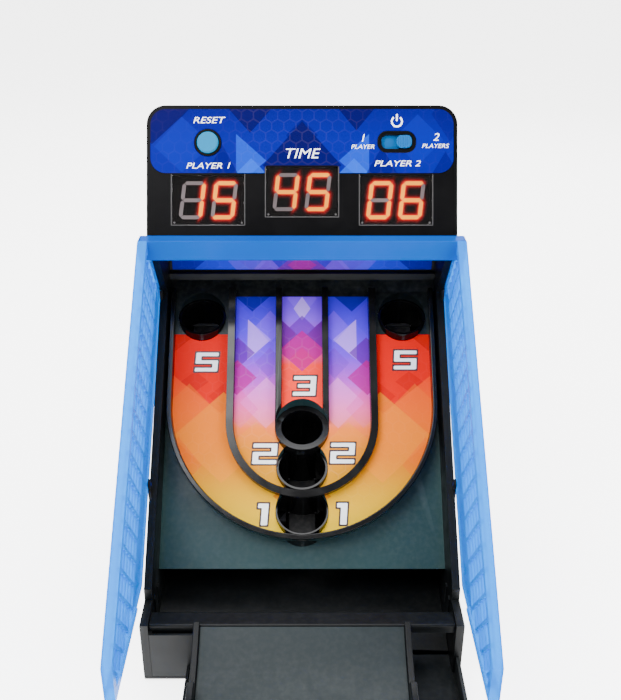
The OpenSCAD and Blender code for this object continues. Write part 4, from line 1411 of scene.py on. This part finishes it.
@dataclass
class Scoreboard(Assembly):
    """Scoreboard shell, film, windows, digits, button and switch.

    Attributes:
        print_low: Height of the print's underside above the face, in millimetres, like every size here.
        print_high: Height of its top.
        shear: How far the words lean.
        sign_spot: Middle of the power sign's ring, across and up the face.
        sign_radius: Radius of the ring.
        sign_half: Half the width of its lines.
        sign_opening: Half the opening of the ring, in degrees.
        sign_bar: Foot and top of its bar above the middle.
        sign_corner: How far from a corner of the bar its rounding starts.
        sign_steps: Straight pieces in the ring.
        digit_depth: How far the lit bars lie under the face.
        halo_steps: Reach and strength of the light round a lit bar, from its edge outwards.
        halo_low: Height of the first halo above the lit bars.
        halo_step: How far each halo lies above the one before.
        highlight_reach: How far the painted highlight round a window goes past the window.
        highlight_width: Width of the painted highlight.
        highlight_low: Height of its underside above the face.
        highlight_height: Height of its top.
        dot_inset: How far the dots stand in from the window's sides.
        dot_rise: How far they stand above its foot, as a share of the inset.
        dot_radius: Their radius.
        dot_height: How far they stand above the window.
        dot_sides: Sides of a dot.
        ink: Finish of the printed marks.
        trim: Finish of the painted highlights and the dots.
        labels: The words.
    """

    name: ClassVar[str] = "scoreboard"
    print_low: float = 0.3
    print_high: float = 0.36
    shear: float = 0.25
    sign_spot: Point = (82.0, -14.2)
    sign_radius: float = 4.4
    sign_half: float = 0.75
    sign_opening: float = 38
    sign_bar: Point = (0.4, 6.4)
    sign_corner: float = 0.4
    sign_steps: int = 28
    digit_depth: float = 3.0
    halo_steps: tuple[Point, ...] = ((-0.4, 1.0), (0.5, 0.7), (1.4, 0.38), (2.6, 0.14), (4.2, 0.0))
    halo_low: float = 0.04
    halo_step: float = 0.008
    highlight_reach: float = 0.9
    highlight_width: float = 0.55
    highlight_low: float = -0.1
    highlight_height: float = 0.22
    dot_inset: float = 2.0
    dot_rise: float = 0.8
    dot_radius: float = 0.9
    dot_height: float = 0.35
    dot_sides: int = 16
    ink: Finish = MouldedPlastic(paint(240, 243, 250), 0.4, rubbed=0.0, dust=0.0)
    trim: Finish = MouldedPlastic(paint(70, 68, 68), 0.3, rubbed=0.1, dust=0.0)
    labels: tuple[Label, ...] = (
        Label("reset_word", "RESET", -80.0, 13.0, 28.0, 5.4),
        Label("player_one_word", "PLAYER 1", -81.0, 52.4, 38.0, 5.0),
        Label("time_word", "TIME", 1.0, 41.8, 30.0, 8.4),
        Label("one_player_figure", "1", 53.0, 28.4, 2.6, 6.5),
        Label("one_player_word", "PLAYER", 52.5, 36.0, 20.0, 3.6),
        Label("two_player_figure", "2", 116.0, 27.6, 5.6, 6.5),
        Label("two_player_word", "PLAYERS", 115.5, 35.3, 23.4, 3.6),
        Label("player_two_word", "PLAYER 2", 82.6, 50.4, 40.0, 5.0),
    )

    def build(self) -> None:
        """Builds the scoreboard."""
        self.shape(Edge.ROUND, "scoreboard_front", "scoreboard_back", "reset_button")
        self.shape(Edge.EASED, "player_knob", "window_player_one", "window_time", "window_player_two")
        self.keep("scoreboard_graphic", "display_player_one", "display_time", "display_player_two")
        self.keep("unlit_segments", "lit_segments", "main_board", "reset_switch", "player_switch", "speaker")
        for label in self.labels:
            self.print_label(label)
        self.print_power_sign()
        self.light_halos()
        for window in ("window_player_one", "window_time", "window_player_two"):
            self.frame_window(window)

    def white_print(self, piece: bpy.types.Object) -> None:
        """Dresses a printed mark in white ink."""
        self.report(self.palette.dress(piece, "score_print", self.ink))

    def print_label(self, label: Label) -> None:
        """Prints one word in a plain slanted face.

        Args:
            label: The word and its place.
        """
        curve = bpy.data.curves.new(label.name, "FONT")
        curve.body = label.words
        curve.shear = self.shear
        curve.extrude = 0.02
        sketch = bpy.data.objects.new(label.name + "_sketch", curve)
        bpy.context.scene.collection.objects.link(sketch)
        bpy.context.view_layer.update()
        mesh = bpy.data.meshes.new_from_object(sketch.evaluated_get(bpy.context.evaluated_depsgraph_get()))
        bpy.data.objects.remove(sketch)
        build = bmesh.new()
        build.from_mesh(mesh)
        bpy.data.meshes.remove(mesh)
        low = [min(v.co[i] for v in build.verts) for i in range(3)]
        high = [max(v.co[i] for v in build.verts) for i in range(3)]
        scale_x, scale_y = label.width / (high[0] - low[0]), label.height / (high[1] - low[1])
        thick = (self.print_high - self.print_low) / (high[2] - low[2])
        place = face_surface().matrix()
        for vert in build.verts:
            x = label.across + (vert.co.x - (low[0] + high[0]) / 2) * scale_x
            y = -label.down + (vert.co.y - (low[1] + high[1]) / 2) * scale_y
            vert.co = place @ (Vector((x, y, self.print_low + (vert.co.z - low[2]) * thick)) * MM)
        bmesh.ops.remove_doubles(build, verts=build.verts, dist=0.001 * MM)
        self.white_print(add_object(label.name, build, "machine"))

    def print_power_sign(self) -> None:
        """Prints the ring and bar over the switch."""
        across, up = self.sign_spot
        half, opening = self.sign_half, self.sign_opening
        build, place = bmesh.new(), face_surface().matrix()
        step = (360 - 2 * opening) / self.sign_steps
        turns = [math.radians(90 + opening + i * step) for i in range(self.sign_steps + 1)]
        ring: list[Point] = []
        for radius, angles in ((self.sign_radius + half, turns), (self.sign_radius - half, turns[::-1])):
            ring += [(across + radius * math.cos(a), up + radius * math.sin(a)) for a in angles]
        add_plate(build, ring, place, self.print_low, self.print_high)
        left, right, (foot, top) = across - half, across + half, (up + part for part in self.sign_bar)
        bar = [(left, foot), (right, foot), (right, top), (left, top)]
        add_plate(build, round_corners(bar, self.sign_corner), place, self.print_low, self.print_high)
        self.white_print(add_object("power_sign", build, "machine"))

    def frame_window(self, node: str) -> None:
        """Lays a painted highlight, pale strips along the foot and both sides of a window, and the two dots at
        its lower corners.

        Args:
            node: The window's name.
        """
        place = face_surface().matrix()
        back = place.inverted()
        spots = [(back @ v.co) / MM for v in frame["nodes"][node].data.vertices]
        left, right = min(p.x for p in spots), max(p.x for p in spots)
        foot, top = min(p.y for p in spots), max(p.y for p in spots)
        skin = max(p.z for p in spots)
        # Painted highlight: pale strips along the foot and sides stand in for light caught by the window's
        # edge.
        highlight_strip, grow = bmesh.new(), self.highlight_reach
        for x0, y0, x1, y1 in (
            (left - grow, foot - grow, right + grow, foot - grow + self.highlight_width),
            (left - grow, foot - grow, left - grow + self.highlight_width, top + grow),
            (right + grow - self.highlight_width, foot - grow, right + grow, top + grow),
        ):
            add_plate(highlight_strip, [(x0, y0), (x1, y0), (x1, y1), (x0, y1)], place, self.highlight_low, self.highlight_height)
        piece = add_object(node.replace("window", "window_edge_highlight"), highlight_strip, "machine")
        self.report(self.palette.dress(piece, "score_black", self.trim))
        dots = bmesh.new()
        for across in (left + self.dot_inset, right - self.dot_inset):
            up = foot + self.dot_inset * self.dot_rise
            outline = circle_outline(across, up, self.dot_radius, self.dot_sides)
            add_plate(dots, outline, place, skin, skin + self.dot_height)
        piece = add_object(node.replace("window", "window_dots"), dots, "machine")
        self.report(self.palette.dress(piece, "score_black", self.trim))

    def lit_outlines(self) -> list[list[Point]]:
        """Finds the outline of each lit bar.

        Returns:
            The outlines, in millimetres on the face.
        """
        build = bmesh.new()
        build.from_mesh(frame["nodes"]["lit_segments"].data)
        bmesh.ops.remove_doubles(build, verts=build.verts, dist=MERGE)
        back = face_surface().matrix().inverted()
        waiting, outlines = set(build.verts), []
        for first in list(build.verts):
            if first not in waiting:
                continue
            waiting.discard(first)
            island, front = [first], [first]
            while front:
                for edge in front.pop().link_edges:
                    for vert in edge.verts:
                        if vert in waiting:
                            waiting.discard(vert)
                            island.append(vert)
                            front.append(vert)
            flat = [Vector((back @ v.co).xy) / MM for v in island]
            hull = [tuple(flat[i]) for i in geometry.convex_hull_2d(flat)]
            outlines.append(hull if signed_area(hull) > 0 else hull[::-1])
        build.free()
        return outlines

    def light_halos(self) -> None:
        """Lays the red light that surrounds each lit bar on the displays."""
        build, place = bmesh.new(), face_surface().matrix()
        glow = build.verts.layers.float.new("glow")
        for count, outline in enumerate(self.lit_outlines()):
            height = self.halo_low + count * self.halo_step - self.digit_depth
            loops = []
            for reach, value in self.halo_steps:
                loop = []
                for x, y in round_corners(grow_outline(outline, reach), max(0.3, reach), 2):
                    vert = build.verts.new(place @ (Vector((x, y, height)) * MM))
                    vert[glow] = value
                    loop.append(vert)
                loops.append(loop)
            build.faces.new(loops[0])
            for inner, outer in zip(loops, loops[1:]):
                size = len(inner)
                for i in range(size):
                    k = (i + 1) % size
                    build.faces.new((inner[i], outer[i], outer[k], inner[k]))
        piece = add_object("lamp_halos", build, "machine")
        self.report(self.palette.dress(piece, "lit_led", Halo()))


@dataclass
class PowerPack(Assembly):
    """Battery compartment, cells, contacts, door and wires."""

    name: ClassVar[str] = "power pack"

    def build(self) -> None:
        """Builds the power pack."""
        self.shape(Edge.EASED, "battery_box", "batteries")
        self.shape(Edge.CRISP, "battery_door", "battery_contacts")
        self.keep("wiring")


# ---------------------------------------------------------------- studio


@dataclass(frozen=True)
class SoftBox:
    """A square studio light.

    Attributes:
        name: Its name.
        spot: Where it hangs, in metres.
        size: Its width and height, in metres.
        power: Its power in watts.
    """

    name: str
    spot: tuple[float, float, float]
    size: tuple[float, float]
    power: float


@dataclass
class Studio:
    """Camera, floor and lights.

    Attributes:
        eye: Where the camera stands, in metres.
        pitch: How far it looks down, in degrees.
        lens: Its focal length, in millimetres.
        shift: How far its picture is shifted sideways.
        floor_half: Half the width of the floor, in metres.
        floor_glow: Light that the floor gives back.
        room_light: Strength of the room's even light.
        room_white: Strength of the room as the camera sees it.
        aim: What the lights point at.
        lights: The soft boxes.
    """

    eye: tuple[float, float, float] = (0.0, -0.540, 0.610)
    pitch: float = 27.0
    lens: float = 48.34
    shift: float = 0.0121
    floor_half: float = 9.0
    floor_glow: float = 4.2
    room_light: float = 0.6
    room_white: float = 6.0
    aim: tuple[float, float, float] = (0.0, 0.1, 0.15)
    lights: tuple[SoftBox, ...] = (
        SoftBox("key_light", (-0.7, -0.6, 1.7), (1.1, 1.1), 50.0),
        SoftBox("fill_light", (1.2, -0.5, 1.2), (1.0, 1.2), 24.0),
        SoftBox("top_light", (0.0, 0.5, 1.9), (1.6, 1.0), 40.0),
        SoftBox("back_light", (0.3, 1.8, 1.0), (1.4, 0.8), 16.0),
    )

    def build(self) -> None:
        """Builds the studio."""
        self.add_camera()
        self.add_floor()
        self.add_lights()

    def add_camera(self) -> None:
        """Adds the camera."""
        camera = bpy.data.cameras.new("camera")
        camera.lens = self.lens
        camera.sensor_width = 36.0
        camera.shift_x = self.shift
        viewer = bpy.data.objects.new("camera", camera)
        viewer.location = self.eye
        viewer.rotation_euler = (math.radians(90 - self.pitch), 0, 0)
        bpy.context.scene.collection.objects.link(viewer)
        bpy.context.scene.camera = viewer

    def add_floor(self) -> None:
        """Adds the plain pale floor."""
        build = bmesh.new()
        bmesh.ops.create_grid(build, x_segments=1, y_segments=1, size=self.floor_half)
        mesh = bpy.data.meshes.new("floor")
        build.to_mesh(mesh)
        build.free()
        floor = bpy.data.objects.new("floor", mesh)
        bpy.context.scene.collection.objects.link(floor)
        paper = Blank("floor_paper")
        paper.feed({"Base Color": (0.92, 0.92, 0.92, 1), "Roughness": 0.9})
        paper.feed({"Emission Color": (1, 1, 1, 1), "Emission Strength": self.floor_glow})
        floor.data.materials.append(paper.material)

    def add_lights(self) -> None:
        """Adds the soft boxes and the even light of the room."""
        for box in self.lights:
            light = bpy.data.lights.new(box.name, "AREA")
            light.shape = "RECTANGLE"
            light.size, light.size_y = box.size
            light.energy = box.power
            lamp = bpy.data.objects.new(box.name, light)
            lamp.location = box.spot
            lamp.rotation_euler = (Vector(self.aim) - Vector(box.spot)).to_track_quat("-Z", "Y").to_euler()
            bpy.context.scene.collection.objects.link(lamp)
        world = bpy.data.worlds.new("room")
        world.use_nodes = True
        bench, back = Bench(world.node_tree), world.node_tree.nodes["Background"]
        seen = bench.node("ShaderNodeLightPath").outputs["Is Camera Ray"]
        bench.put(back.inputs["Color"], (1, 1, 1, 1))
        bench.put(back.inputs["Strength"], bench.remap(seen, 0.0, 1.0, self.room_light, self.room_white))
        bpy.context.scene.world = world


def main() -> None:
    """Builds the studio and every sub-assembly in order."""
    logging.basicConfig(level=logging.INFO, format="%(message)s")
    Studio().build()
    palette = Palette()
    for kind in (Housing, TargetBoard, Mechanism, Lane, Guards, Scoreboard, PowerPack):
        kind(palette).build()


if __name__ == "__main__":
    main()
